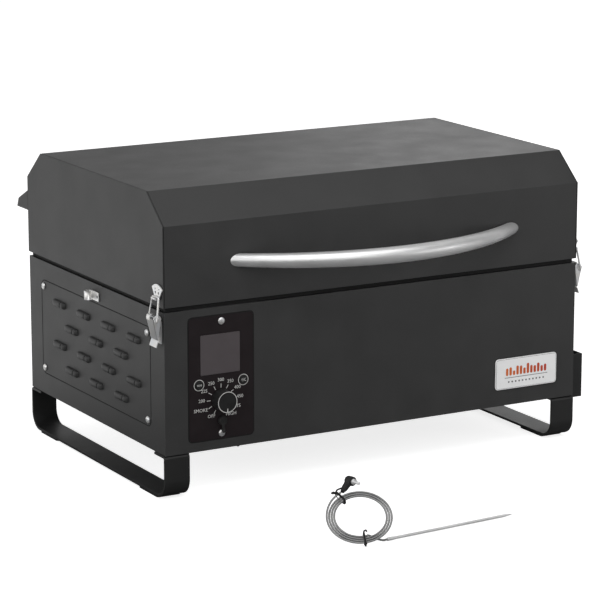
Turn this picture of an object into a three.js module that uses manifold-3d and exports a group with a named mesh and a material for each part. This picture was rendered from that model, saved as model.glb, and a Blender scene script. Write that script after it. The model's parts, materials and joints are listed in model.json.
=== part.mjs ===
// Tabletop pellet smoker grill with a hinged lid, draw latches and a meat probe.
// Millimetres, +X to the right, +Y to the back, +Z up. Every piece is placed around the middle
// of the body's footprint, and the whole group is then shifted so that the origin is the
// bottom centre of its bounding box.
import * as THREE from 'three';
import { mergeVertices } from 'three/addons/utils/BufferGeometryUtils.js';
import Module from 'manifold-3d';

const wasm = await Module();
wasm.setup();

// ---------------------------------------------------------------- driving dimensions

const GAP = 0.3;                // clearance between neighbouring pieces
const SHEET = 1.5;              // steel sheet of the lid and the body

const LID_X = 280;              // half the lid's width
const BODY_X = 279;             // half the body's width
const HALF_DEPTH = 183;         // half the depth of the lid and the body
const BODY_BOTTOM = 54;
const BODY_TOP = 220;
const LID_BOTTOM = 225.3;
const LID_TOP = 352.4;
const CHAMFER_RUN = 40;
const CHAMFER_RISE = 34;
const RIM_X = 266;              // half-width of the opening inside the rolled rims
const RIM_Y = 171;

const WALL_IN = BODY_X - SHEET;       // inner faces of the body's walls
const DEPTH_IN = HALF_DEPTH - SHEET;

const LEG = { width: 32, thick: 3, bend: 21, flange: 27, padHeight: 2.5 };
const PAD = { width: 30, length: 48, inset: 22 };

const SIDE_PANEL = { y: 0.4, z: 138.4, width: 295, height: 116, corner: 8, thick: 1.2 };
const PANEL_GAP = 1;            // shadow gap around the two inset panels
const LEDGE = 10;               // ledge behind each inset panel
const LOUVER = { length: 35, radius: 4.4, rowPitch: 25.6, pitch: 67.4, top: 175.5, shift: -5 };
const SCREW = { head: 4.2, dome: 2.4, shank: 2, length: 6 };

const CONTROL = { x: -207.4, z: 138.3, width: 82.5, height: 144, corner: 4.5, proud: 0.6 };
const DIAL = { x: -207.9, z: 112.2, knob: 12.5, knobLength: 15.5 };
const DISPLAY = { x: -208.7, z: 165.8, width: 50.5, height: 46.6 };
const BUTTON = { z: 131.8, left: -236, right: -179.2, radius: 5.2, proud: 1.6, travel: 1 };
const JACK = { x: -206.9, z: 87.6, radius: 5.5 };

const LATCH_Y = -171.2;
const LATCH = {
  pivot: { out: 6.6, z: 213 },  // lever pin, measured out from the body's side
  crank: 3.6,                   // lever pin to bail pin
  crankAngle: -60,
  bar: { out: 4.2, z: 237.3 },  // top bar of the bail
  barHalf: 7.4,                 // bail's half-width at its top bar and at its pivots
  pivotHalf: 10.8,
  wire: 1.15,
};

const HINGE = { y: 187.8, z: 222.7, knuckle: 4.2, pin: 1.8, half: 230, leaf: 17 };
const HANDLE = { half: 183, bow: 62, z: 271.3, endRadius: 7.2, midRadius: 9.6 };

const CHAMBER_X = -150;         // cooking chamber side of the partition wall
const AUGER = { y: 30, z: 85, tube: 20, flight: 16.8, shaft: 5, left: -224, right: 33 };
const FAN = { y: -75, z: 100, size: 80, bore: 37, depth: 25 };
const POT = { x: 70, radius: 42, height: 60 };

const GREASE = { x0: 229, x1: 306.2, y0: -163, tongueY: -150, y1: -90, bottom: 44.8, top: 99.4, thick: 1.2 };
const CHUTE = { y: -120, width: 24, left: 262, right: 296, bottom: 104, top: 113 };

// Half-depths are across the body; the tray's floor falls from `high` to `low` on its way right.
const GRATE = { left: -138, right: 262, halfDepth: 167, rod: 5, bars: 15, z: 200, tie: 6 };
const TRAY = { left: -146, lip: 162, high: 150, gutter: 240, low: 130, right: 266, halfDepth: 176 };
const BAFFLE = { x0: 2, x1: 146, y0: -60, y1: 120, shoulder: 110, top: 122, slope: 20, thick: 2 };
const HOPPER = { left: -264, right: -158, front: -22, back: 170, top: 217.5, shoulder: 150, thick: 1.2 };
const SENSOR = { y: 120, z: 190, flange: 24, length: 62, radius: 3 };
const VENT = { count: 6, pitch: 80, length: 60, bottom: 278.5, top: 286.5 };
const INLET = { x: -215, z: 90, flangeX: 34, flangeZ: 28, bodyX: 26, bodyZ: 20, depth: 24 };
const BADGE = { x: 208.5, z: 93.5, width: 88, height: 38, corner: 4, thick: 1.6 };
const CLIP = {
  y: 3, loop: 5, thick: 1.2, bottom: 200.5, top: 211, flangeEnd: -15.5, screwY: -12.3, screwZ: 205,
};

// Front of the coiled cable, the way its plane is turned and tilted, and its windings.
const COIL = { x: -172.2, y: -434.8, rise: 4.65, turn: -29.5, tilt: 35, outer: 36.5, inner: 27, cable: 1.3 };
const COIL_ANGLES = { start: -70, end: -1316, frontTie: -82, rearTie: 131 };
const PLUG = { x: -148.4, y: -371.5, z: 55.5, boot: 5.2, pin: 1.75, length: 17 };
const NEEDLE = { start: -136, collar: -127.5, taper: 22, tip: 36, radius: 1.6 };

// ---------------------------------------------------------------- materials

function paint(color, roughness, metalness = 0) {
  return new THREE.MeshStandardMaterial({ color, roughness, metalness });
}

const MATERIALS = {
  shell: paint(0x3a3a3a, 0.55, 0.2),
  black: paint(0x161616, 0.6, 0.1),
  gloss: paint(0x181516, 0.2),
  display: paint(0x423d3f, 0.3),
  rubber: paint(0x0e0e0e, 0.9),
  steel: paint(0xc8c8c8, 0.25, 1),
  zinc: paint(0xd8dade, 0.3, 1),
  galvanised: paint(0x9a9d9f, 0.45, 0.9),
  enamel: paint(0x1a1a1c, 0.35, 0.3),
  plastic: paint(0x141414, 0.5),
  badge: paint(0xe8e8e8, 0.3),
  braid: paint(0x8f8f8f, 0.5, 0.8),
};

// ---------------------------------------------------------------- shape helpers

const grill = new THREE.Group();

function part(name, geometry, material) {
  const mesh = new THREE.Mesh(geometry, material);
  mesh.name = name;
  grill.add(mesh);
}

function slab(x0, x1, y0, y1, z0, z1) {
  const box = new THREE.BoxGeometry(Math.abs(x1 - x0), Math.abs(y1 - y0), Math.abs(z1 - z0));
  return box.translate((x0 + x1) / 2, (y0 + y1) / 2, (z0 + z1) / 2);
}

// Round bar between two stations of one axis, centred on the other two coordinates.
function rodX(x0, x1, y, z, radius, sides = 16) {
  const rod = new THREE.CylinderGeometry(radius, radius, Math.abs(x1 - x0), sides);
  return rod.rotateZ(Math.PI / 2).translate((x0 + x1) / 2, y, z);
}

function rodY(y0, y1, x, z, radius, sides = 16) {
  const rod = new THREE.CylinderGeometry(radius, radius, Math.abs(y1 - y0), sides);
  return rod.translate(x, (y0 + y1) / 2, z);
}

function rodZ(z0, z1, x, y, radius, sides = 16) {
  const rod = new THREE.CylinderGeometry(radius, radius, Math.abs(z1 - z0), sides);
  return rod.rotateX(Math.PI / 2).translate(x, y, (z0 + z1) / 2);
}

function outline(points) {
  return new THREE.Shape(points.map(([a, b]) => new THREE.Vector2(a, b)));
}

function extrude(shape, depth, curveSegments) {
  return new THREE.ExtrudeGeometry(shape, { depth, bevelEnabled: false, curveSegments });
}

// Prisms: a (y, z) outline along X, an (x, z) outline along Y, an (x, y) outline along Z.
function alongX(shape, x0, x1, curveSegments = 3) {
  const axes = new THREE.Matrix4().makeBasis(
    new THREE.Vector3(0, 1, 0), new THREE.Vector3(0, 0, 1), new THREE.Vector3(1, 0, 0));
  const low = Math.min(x0, x1);
  return extrude(shape, Math.abs(x1 - x0), curveSegments).applyMatrix4(axes).translate(low, 0, 0);
}

function alongY(shape, y0, y1, curveSegments = 3) {
  const axes = new THREE.Matrix4().makeBasis(
    new THREE.Vector3(1, 0, 0), new THREE.Vector3(0, 0, 1), new THREE.Vector3(0, -1, 0));
  const high = Math.max(y0, y1);
  return extrude(shape, Math.abs(y1 - y0), curveSegments).applyMatrix4(axes).translate(0, high, 0);
}

function alongZ(shape, z0, z1, curveSegments = 4) {
  return extrude(shape, z1 - z0, curveSegments).translate(0, 0, z0);
}

function roundedRect(a, b, width, height, radius) {
  const [left, right] = [a - width / 2, a + width / 2];
  const [low, high] = [b - height / 2, b + height / 2];
  const shape = new THREE.Shape();
  shape.moveTo(left + radius, low);
  shape.lineTo(right - radius, low);
  shape.absarc(right - radius, low + radius, radius, -Math.PI / 2, 0, false);
  shape.absarc(right - radius, high - radius, radius, 0, Math.PI / 2, false);
  shape.absarc(left + radius, high - radius, radius, Math.PI / 2, Math.PI, false);
  shape.absarc(left + radius, low + radius, radius, Math.PI, Math.PI * 1.5, false);
  return shape;
}

// Bent sheet seen on edge: the polyline is one face, the other face lies on its left side.
function sheet(points, thickness) {
  const line = points.map(([a, b]) => new THREE.Vector2(a, b));
  const normals = line.slice(1).map((point, i) => {
    const along = point.clone().sub(line[i]).normalize();
    return new THREE.Vector2(-along.y, along.x);
  });
  const other = line.map((point, i) => {
    const before = normals[Math.max(i - 1, 0)];
    const after = normals[Math.min(i, normals.length - 1)];
    const mitre = before.clone().add(after);
    return point.clone().addScaledVector(mitre, (2 * thickness) / mitre.lengthSq());
  });
  return new THREE.Shape([...line, ...other.reverse()]);
}

// Frustum with an axis-aligned rectangle [x0, x1, y0, y1] at each end.
function hopperShape(top, bottom, zTop, zBottom) {
  const box = new THREE.BoxGeometry(1, 1, 1);
  const position = box.attributes.position;
  for (let i = 0; i < position.count; i += 1) {
    const rect = position.getZ(i) > 0 ? top : bottom;
    const x = position.getX(i) > 0 ? rect[1] : rect[0];
    const y = position.getY(i) > 0 ? rect[3] : rect[2];
    position.setXYZ(i, x, y, position.getZ(i) > 0 ? zTop : zBottom);
  }
  return box;
}

// Round tube swept along points, with a radius at each point and flat ends.
function swept(points, radii, sides) {
  const up = new THREE.Vector3(0, 0, 1);
  const vertices = [];
  const faces = [];
  points.forEach((point, i) => {
    const next = points[Math.min(i + 1, points.length - 1)];
    const last = points[Math.max(i - 1, 0)];
    const along = next.clone().sub(last).normalize();
    const side = new THREE.Vector3().crossVectors(along, up).normalize();
    const over = new THREE.Vector3().crossVectors(side, along);
    for (let k = 0; k < sides; k += 1) {
      const angle = (2 * Math.PI * k) / sides;
      const rim = point.clone()
        .addScaledVector(side, radii[i] * Math.cos(angle))
        .addScaledVector(over, radii[i] * Math.sin(angle));
      vertices.push(rim.x, rim.y, rim.z);
    }
  });
  for (let i = 0; i + 1 < points.length; i += 1) {
    for (let k = 0; k < sides; k += 1) {
      const a = i * sides + k;
      const b = i * sides + ((k + 1) % sides);
      faces.push(a, a + sides, b, b, a + sides, b + sides);
    }
  }
  const lastRing = (points.length - 1) * sides;
  for (let k = 1; k + 1 < sides; k += 1) {
    faces.push(0, k, k + 1, lastRing, lastRing + k + 1, lastRing + k);
  }
  const geometry = new THREE.BufferGeometry();
  geometry.setAttribute('position', new THREE.Float32BufferAttribute(vertices, 3));
  geometry.setIndex(faces);
  return geometry;
}

// ---------------------------------------------------------------- joining and cutting

function toSolid(geometry) {
  const bare = geometry.clone();
  bare.deleteAttribute('normal');
  bare.deleteAttribute('uv');
  const merged = mergeVertices(bare, 1e-4);
  const vertProperties = new Float32Array(merged.attributes.position.array);
  const triVerts = new Uint32Array(merged.index.array);
  return new wasm.Manifold(new wasm.Mesh({ numProp: 3, vertProperties, triVerts }));
}

function toGeometry(solid) {
  const mesh = solid.getMesh();
  const geometry = new THREE.BufferGeometry();
  geometry.setAttribute('position', new THREE.BufferAttribute(mesh.vertProperties, 3));
  geometry.setIndex(new THREE.BufferAttribute(mesh.triVerts, 1));
  return geometry;
}

function join(...geometries) {
  return toGeometry(geometries.map(toSolid).reduce((whole, next) => whole.add(next)));
}

function cut(base, ...tools) {
  return toGeometry(tools.map(toSolid).reduce((left, tool) => left.subtract(tool), toSolid(base)));
}

// ---------------------------------------------------------------- body and lid

// Ring behind an inset panel, from just inside the wall's outer skin to the ledge's back.
function panelLedge(prism, panel, from, to) {
  const { width, height, corner } = panel;
  const [a, b] = panel.centre;
  const outer = roundedRect(a, b, width + 2 * LEDGE, height + 2 * LEDGE, corner);
  const inner = roundedRect(a, b, width - 2 * LEDGE, height - 2 * LEDGE, corner);
  return cut(prism(outer, from, to), prism(inner, from - 1, to + 1));
}

function panelOpening(prism, panel, from, to) {
  const { width, height, corner } = panel;
  const [a, b] = panel.centre;
  const shape = roundedRect(a, b, width + 2 * PANEL_GAP, height + 2 * PANEL_GAP, corner + PANEL_GAP);
  return prism(shape, from, to);
}

function sidePanelScrews() {
  const { y, z, width, height } = SIDE_PANEL;
  const [dy, dz] = [width / 2 - 6.5, height / 2 - 7];
  return [[y - dy, z - dz], [y - dy, z + dz], [y + dy, z - dz], [y + dy, z + dz]];
}

function controlScrews() {
  return [-1, 1].map((way) => [CONTROL.x, CONTROL.z + way * (CONTROL.height / 2 - 6.5)]);
}

// Two angle rails under the floor that the grease drawer's flanges run on.
function greaseRails() {
  return [[GREASE.tongueY, -1], [GREASE.y1, 1]].map(([y, out]) => {
    const upright = slab(226, 277, y + out * 3.4, y + out * 4.6, 49.8, BODY_BOTTOM + 0.5);
    const foot = slab(226, 277, y + out * 0.6, y + out * 4, 49.8, 51);
    return join(upright, foot);
  });
}

function bodyShell() {
  const side = { ...SIDE_PANEL, centre: [SIDE_PANEL.y, SIDE_PANEL.z] };
  const front = { ...CONTROL, centre: [CONTROL.x, CONTROL.z] };
  const outer = slab(-BODY_X, BODY_X, -HALF_DEPTH, HALF_DEPTH, BODY_BOTTOM, BODY_TOP);
  const hollow = slab(-WALL_IN, WALL_IN, -DEPTH_IN, DEPTH_IN, BODY_BOTTOM + SHEET, BODY_TOP - SHEET);
  const mouth = slab(-RIM_X, RIM_X, -RIM_Y, RIM_Y, BODY_TOP - 5, BODY_TOP + 5);
  const openings = [
    panelOpening(alongX, side, -BODY_X - 2, -WALL_IN + 2),
    panelOpening(alongY, front, -HALF_DEPTH - 2, -DEPTH_IN + 2),
    slab(INLET.x - INLET.bodyX / 2 - 1, INLET.x + INLET.bodyX / 2 + 1, DEPTH_IN - 2, HALF_DEPTH + 2,
      INLET.z - INLET.bodyZ / 2 - 1, INLET.z + INLET.bodyZ / 2 + 1),
  ];
  const ledges = [
    panelLedge(alongX, side, -WALL_IN - 0.2, -WALL_IN + 1.8),
    panelLedge(alongY, front, -DEPTH_IN - 0.2, -DEPTH_IN + 1.8),
  ];
  const grateRails = [-1, 1].map((way) => slab(
    GRATE.left - 2, GRATE.right, way * (DEPTH_IN + 0.5), way * (GRATE.halfDepth - 5.5),
    GRATE.z - 5.6, GRATE.z - 4));
  const trayTabs = [-110, 225].flatMap((x) => [-1, 1].map((way) => slab(
    x - 10, x + 10, way * (DEPTH_IN + 0.5), way * 168, trayFloor(x) - 5, trayFloor(x) - 3)));
  const half = CHUTE.width / 2;
  const chute = slab(
    CHUTE.left, CHUTE.right, CHUTE.y - half, CHUTE.y + half, CHUTE.bottom, CHUTE.top);
  const chuteChannel = slab(
    CHUTE.left - 4, CHUTE.right + 4, CHUTE.y - half + SHEET, CHUTE.y + half - SHEET,
    CHUTE.bottom + SHEET, CHUTE.top + 9);
  const screwHoles = [
    ...sidePanelScrews().map(([y, z]) => rodX(-BODY_X - 2, -WALL_IN + 4, y, z, SCREW.shank + 0.4, 8)),
    ...controlScrews().map(([x, z]) => rodY(-HALF_DEPTH - 2, -DEPTH_IN + 4, x, z, SCREW.shank + 0.4, 8)),
  ];
  const walls = cut(outer, hollow, mouth, ...openings);
  const fitted = join(walls, ...ledges, ...grateRails, ...trayTabs, chute, ...greaseRails());
  return cut(fitted, chuteChannel, ...screwHoles);
}

function rimGasket() {
  const outer = slab(-276, 276, -180, 180, BODY_TOP + GAP, LID_BOTTOM - 0.6);
  const inner = slab(-268, 268, -172, 172, BODY_TOP - 1, LID_BOTTOM + 1);
  return cut(outer, inner);
}

// The lid's end outline in (y, z), pulled in by `inset` on every side.
function lidProfile(inset, bottom) {
  const y = HALF_DEPTH - inset;
  const top = LID_TOP - inset;
  const slope = Math.hypot(CHAMFER_RUN, CHAMFER_RISE);
  const shift = (inset * (slope - CHAMFER_RUN)) / CHAMFER_RISE;
  const shoulder = LID_TOP - CHAMFER_RISE - (inset * (slope - CHAMFER_RISE)) / CHAMFER_RUN;
  const run = HALF_DEPTH - CHAMFER_RUN - shift;
  return outline([[-y, bottom], [y, bottom], [y, shoulder], [run, top], [-run, top], [-y, shoulder]]);
}

// Shallow joint line where each end plate meets the folded top, 1 mm in from the side.
function lidSeam(way) {
  const [near, far] = [way * (LID_X - 1.9), way * (LID_X - 1.1)];
  return cut(alongX(lidProfile(-3, LID_BOTTOM - 5), near, far), alongX(lidProfile(0.7, LID_BOTTOM - 9),
    way * (LID_X - 4), way * (LID_X + 4)));
}

function lidShell() {
  const outer = alongX(lidProfile(0, LID_BOTTOM), -LID_X, LID_X);
  const hollow = alongX(lidProfile(SHEET, LID_BOTTOM + SHEET), -LID_X + SHEET, LID_X - SHEET);
  const mouth = slab(-RIM_X, RIM_X, -RIM_Y, RIM_Y, LID_BOTTOM - 2, LID_BOTTOM + 5);
  const boltHoles = [-1, 1].map((way) => rodY(
    -HALF_DEPTH - 2, -DEPTH_IN + 2, way * boltX(), HANDLE.z, 3.5, 10));
  const ventSlots = Array.from({ length: VENT.count }, (_, i) => {
    const x = (i - (VENT.count - 1) / 2) * VENT.pitch;
    return slab(
      x - VENT.length / 2, x + VENT.length / 2, DEPTH_IN - 2, HALF_DEPTH + 2, VENT.bottom, VENT.top);
  });
  return cut(outer, hollow, mouth, ...boltHoles, ...ventSlots, lidSeam(-1), lidSeam(1));
}

// Smoke hood over the vent slots: a folded roof with end caps, open below.
function rearVentHood() {
  const y = HALF_DEPTH + GAP;
  const outer = outline([[y, 276.4], [215.3, 276.4], [210.8, 287.3], [y, 301]]);
  const inner = outline([[y - 2, 270], [213.4, 270], [213.6, 276.2], [209.6, 286.2],
    [y + SHEET, 298.4], [y + SHEET, 289], [y - 2, 289]]);
  return cut(alongX(outer, -LID_X, LID_X), alongX(inner, -LID_X + SHEET, LID_X - SHEET));
}

function boltX() {
  return HANDLE.half - 6;
}

// Bowed tube, thicker in the middle, trimmed flat where it meets the lid and bored for bolts.
function lidHandle() {
  const { half, bow, z, endRadius, midRadius } = HANDLE;
  const radius = (half * half + bow * bow) / (2 * bow);
  const endAngle = Math.asin(half / radius) + 0.06;
  const steps = 22;
  const stations = Array.from({ length: steps + 1 }, (_, i) => (i / steps) * 2 - 1);
  const points = stations.map((s) => new THREE.Vector3(
    radius * Math.sin(s * endAngle),
    -HALF_DEPTH - bow + radius - radius * Math.cos(s * endAngle),
    z));
  const radii = stations.map((s) => midRadius + (endRadius - midRadius) * s * s);
  const lidFace = slab(-LID_X, LID_X, -HALF_DEPTH - GAP, -HALF_DEPTH + 60, z - 30, z + 30);
  const bores = [-1, 1].map((way) => rodY(-HALF_DEPTH - 9, -HALF_DEPTH + 2, way * boltX(), z, 3.4, 10));
  return cut(swept(points, radii, 12), lidFace, ...bores);
}

function handleBolt(way) {
  const x = way * boltX();
  const head = rodY(-DEPTH_IN + GAP, -DEPTH_IN + 4, x, HANDLE.z, 5, 6);
  const shank = rodY(-HALF_DEPTH - 7, -DEPTH_IN + 1, x, HANDLE.z, 3, 10);
  return join(head, shank);
}

// ---------------------------------------------------------------- rear hinge

const KNUCKLES = 6;

// One leaf with every other knuckle; `way` is +1 for the lid's leaf and -1 for the body's.
function hingeLeaf(way) {
  const { y, z, knuckle, pin, half, leaf } = HINGE;
  const face = HALF_DEPTH + GAP;
  const pitch = (2 * half) / KNUCKLES;
  const plate = slab(-half, half, face, face + SHEET, z + way * (knuckle + 1), z + way * leaf);
  const lugs = [];
  for (let i = way > 0 ? 0 : 1; i < KNUCKLES; i += 2) {
    const x0 = -half + i * pitch + 0.5;
    const x1 = x0 + pitch - 1;
    lugs.push(slab(x0, x1, face, face + SHEET, z, z + way * (knuckle + 2)));
    lugs.push(rodX(x0, x1, y, z, knuckle, 12));
  }
  return cut(join(plate, ...lugs), rodX(-half - 5, half + 5, y, z, pin + 0.2, 10));
}

function hingePin() {
  return rodX(-HINGE.half - 2, HINGE.half + 2, HINGE.y, HINGE.z, HINGE.pin, 10);
}

// ---------------------------------------------------------------- draw latches

// Outlines below are (out, z), where out is the distance from the body's side wall.
function latchPrism(way, points, y0, y1) {
  const shape = outline(points.map(([out, z]) => [way * (BODY_X + out), z]));
  return alongY(shape, LATCH_Y + y0, LATCH_Y + y1);
}

function latchPin(way, spot, y0, y1, radius, sides = 10) {
  return rodY(LATCH_Y + y0, LATCH_Y + y1, way * (BODY_X + spot.out), spot.z, radius, sides);
}

function bailPivot() {
  const angle = THREE.MathUtils.degToRad(LATCH.crankAngle);
  return {
    out: LATCH.pivot.out + LATCH.crank * Math.cos(angle),
    z: LATCH.pivot.z + LATCH.crank * Math.sin(angle),
  };
}

// Fan-shaped plate on the lid with an upturned hook below it.
function latchKeeper(way) {
  const shape = new THREE.Shape();
  shape.moveTo(LATCH_Y - 5, 235);
  shape.lineTo(LATCH_Y + 5, 235);
  shape.lineTo(LATCH_Y + 12.6, 247);
  shape.quadraticCurveTo(LATCH_Y, 256.5, LATCH_Y - 12.6, 247);
  const plate = alongX(shape, way * (BODY_X + 1 + GAP), way * (BODY_X + 2.8), 6);
  const hook = latchPrism(way,
    [[1.6, 234], [7.9, 234], [7.9, 236.9], [6.6, 236.9], [6.6, 235.6], [1.6, 235.6]], -4.8, 4.8);
  return join(plate, hook);
}

// Open loop of wire: a top bar over the hook, two arms that spread downwards, and two
// inward pivot stubs.
function latchBail(way) {
  const pivot = bailPivot();
  const { bar, barHalf, pivotHalf, wire } = LATCH;
  const spot = ({ out, z }, y) => new THREE.Vector3(way * (BODY_X + out), LATCH_Y + y, z);
  const pieces = [latchPin(way, bar, -barHalf - wire, barHalf + wire, wire, 8)];
  for (const side of [-1, 1]) {
    pieces.push(swept([spot(pivot, side * pivotHalf), spot(bar, side * barHalf)], [wire, wire], 8));
    pieces.push(latchPin(way, pivot, side * 7.2, side * (pivotHalf + wire), 1.1));
  }
  return join(...pieces);
}

// Channel-shaped lever: two cheeks on the pin, a tapering face and a flared thumb tab.
function latchLever(way) {
  const { pivot } = LATCH;
  const cheek = [-1, 1].map((side) => {
    const rim = Array.from({ length: 9 }, (_, i) => THREE.MathUtils.degToRad(i * 25)).map((angle) => [
      pivot.out + 4.8 * Math.cos(angle), pivot.z + 4.8 * Math.sin(angle)]);
    return latchPrism(way, [...rim, [5.6, 190], [6.9, 190]], side * 7.3, side * 8.5);
  });
  const face = latchPrism(way,
    [[11.2, 213], [12.4, 213], [6.9, 189], [8.8, 181], [7.7, 180.5], [5.6, 189]], -8.5, 8.5);
  return cut(join(...cheek, face),
    latchPin(way, pivot, -10, 10, 1.7),
    latchPin(way, bailPivot(), -10, 10, 1.4));
}

// Plate on the body with two ears and the lever's pin.
function latchBase(way) {
  const { pivot } = LATCH;
  const plate = latchPrism(way, [[GAP, 184], [SHEET, 184], [SHEET, 210], [GAP, 210]], -7, 7);
  const ears = [-1, 1].flatMap((side) => [
    latchPrism(way, [[1.2, 203], [SHEET, 208], [3.5, 213], [6.6, 213], [6.6, 210]],
      side * 5.5, side * 7),
    latchPin(way, pivot, side * 5.5, side * 7, 3.2),
  ]);
  return join(plate, ...ears, latchPin(way, pivot, -8.6, 8.6, 1.5));
}

// ---------------------------------------------------------------- side panel, clip and badge

// Rows of four and three pressed louvers, staggered, each open on its lower side.
function louverCentres() {
  const centres = [];
  for (let row = 0; row < 4; row += 1) {
    const count = row % 2 === 0 ? 4 : 3;
    for (let i = 0; i < count; i += 1) {
      centres.push([
        SIDE_PANEL.y + (i - (count - 1) / 2) * LOUVER.pitch + LOUVER.shift,
        LOUVER.top - row * LOUVER.rowPitch]);
    }
  }
  return centres;
}

// Pressed hood whose roof slopes down and out. `shrink` and `drop` turn it into the hollow
// inside the hood, which runs back through the panel and opens below.
function louverHood(y, z, shrink, drop) {
  const half = LOUVER.length / 2 - shrink;
  const [low, high] = [z - LOUVER.radius - drop, z + LOUVER.radius - shrink];
  const wide = [low, high, y - half, y + half];
  const narrow = [low, high - 3.6, y - half + 3, y + half - 3];
  const back = drop > 0 ? 3 : 0;
  return hopperShape(narrow, wide, BODY_X + LOUVER.radius - shrink, BODY_X - back)
    .rotateY(-Math.PI / 2);
}

function sidePanel() {
  const { y, z, width, height, corner, thick } = SIDE_PANEL;
  const outer = -BODY_X;
  const plate = alongX(roundedRect(y, z, width, height, corner), outer, outer + thick);
  const bumps = louverCentres().map(([ly, lz]) => louverHood(ly, lz, 0, 0));
  const throats = louverCentres().map(([ly, lz]) => louverHood(ly, lz, 1.2, 2));
  const holes = sidePanelScrews().map(([sy, sz]) => rodX(
    outer - 2, outer + thick + 2, sy, sz, SCREW.shank + 0.4, 8));
  return cut(join(plate, ...bumps), ...throats, ...holes);
}

// Dome-headed screw along +Z with its head's underside at z = 0.
function screwGeometry() {
  const { head, dome, shank, length } = SCREW;
  const profile = [[0, -length], [shank, -length], [shank, 0], [head, 0], [head, 0.6],
    [head * 0.62, dome * 0.9], [0, dome]].map(([r, z]) => new THREE.Vector2(r, z));
  return new THREE.LatheGeometry(profile, 10).rotateX(Math.PI / 2);
}

// Bent strip with a screw flange and an open-topped loop that holds the probe's cable.
function cableClip() {
  const { y, loop: radius, thick, bottom, top } = CLIP;
  const face = -BODY_X - GAP;
  const loop = new THREE.Shape();
  loop.absarc(face - radius, y, radius, -Math.PI / 2, Math.PI * 1.15, false);
  loop.absarc(face - radius, y, radius - thick, Math.PI * 1.15, -Math.PI / 2, true);
  const foot = y - radius;
  const flange = slab(face - thick, face, CLIP.flangeEnd, foot + 0.4, bottom, top);
  const neck = slab(face - radius - 0.6, face, foot, foot + thick, bottom, top);
  const screwHole = rodX(face - 3, face + 3, CLIP.screwY, CLIP.screwZ, 1.8, 8);
  return cut(join(alongZ(loop, bottom, top, 12), flange, neck), screwHole);
}

function badge() {
  const { x, z, width, height, corner, thick } = BADGE;
  const face = -HALF_DEPTH - GAP;
  return alongY(roundedRect(x, z, width, height, corner), face - thick, face);
}

// ---------------------------------------------------------------- control unit

// Face plate and electronics housing in one moulding, with a seat for each fitting.
function controlPanel() {
  const { x, z, width, height, corner, proud } = CONTROL;
  const face = -HALF_DEPTH - proud;
  const plate = alongY(roundedRect(x, z, width, height, corner), face, -DEPTH_IN - 0.5);
  const housing = slab(x - 29, x + 29, -DEPTH_IN - 1, -150, z - 50, z + 50);
  const displaySeat = slab(
    DISPLAY.x - DISPLAY.width / 2 - GAP, DISPLAY.x + DISPLAY.width / 2 + GAP, face - 1, face + 1.2,
    DISPLAY.z - DISPLAY.height / 2 - GAP, DISPLAY.z + DISPLAY.height / 2 + GAP);
  const screwHoles = controlScrews().map(([sx, sz]) => rodY(face - 2, face + 9, sx, sz, 2.4, 8));
  const buttonSeats = [BUTTON.left, BUTTON.right].map((bx) => cut(
    rodY(face - 1, face + 2.1, bx, BUTTON.z, BUTTON.radius + 0.4, 16),
    slab(bx - 8, bx + 8, face + 1.9, face + 3, BUTTON.z - 8, BUTTON.z + 8)));
  return cut(join(plate, housing), displaySeat, ...screwHoles, ...buttonSeats,
    rodY(face - 1, face + 9, DIAL.x, DIAL.z, 3.6, 12),
    rodY(face - 1, face + 12, JACK.x, JACK.z, 3.6, 12));
}

function displayWindow() {
  const face = -HALF_DEPTH - CONTROL.proud;
  const shape = roundedRect(DISPLAY.x, DISPLAY.z, DISPLAY.width, DISPLAY.height, 1);
  return alongY(shape, face - 0.3, face + 0.9, 2);
}

function knob() {
  const face = -HALF_DEPTH - CONTROL.proud;
  const [near, far] = [face - 0.6, face - 0.6 - DIAL.knobLength];
  const pointer = slab(DIAL.x - 0.7, DIAL.x + 0.7, far - 0.5, far + 2,
    DIAL.z - DIAL.knob + 0.8, DIAL.z - DIAL.knob * 0.45);
  return join(
    rodY(far, near, DIAL.x, DIAL.z, DIAL.knob, 24),
    rodY(near - 1, face + 8, DIAL.x, DIAL.z, 3, 12),
    pointer);
}

function pushButton(x) {
  const face = -HALF_DEPTH - CONTROL.proud;
  return rodY(face - BUTTON.proud, face + 1.9 - BUTTON.travel - 0.1, x, BUTTON.z, BUTTON.radius, 16);
}

function probeSocket() {
  const face = -HALF_DEPTH - CONTROL.proud;
  const flange = rodY(face - 2, face - GAP, JACK.x, JACK.z, JACK.radius, 16);
  const barrel = rodY(face - 1, face + 10, JACK.x, JACK.z, 3.2, 12);
  return cut(join(flange, barrel), rodY(face - 4, face + 8, JACK.x, JACK.z, 1.9, 10));
}

// Rubber cap seated in the socket, on a strap that hangs down over the lower screw's edge.
function socketCap() {
  const face = -HALF_DEPTH - CONTROL.proud;
  const { x, z } = JACK;
  const half = 1.7;
  return join(
    rodY(face - 3.6, face - 2.3, x, z, JACK.radius - 0.3, 16),
    rodY(face - 2.6, face + 4, x, z, 1.5, 10),
    slab(x - half, x + half, face - 3.6, face - 2.3, 77.5, z - 3),
    slab(x - half, x + half, face - 4.6, face - 3.2, 73.6, 78.3));
}

// ---------------------------------------------------------------- legs

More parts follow.
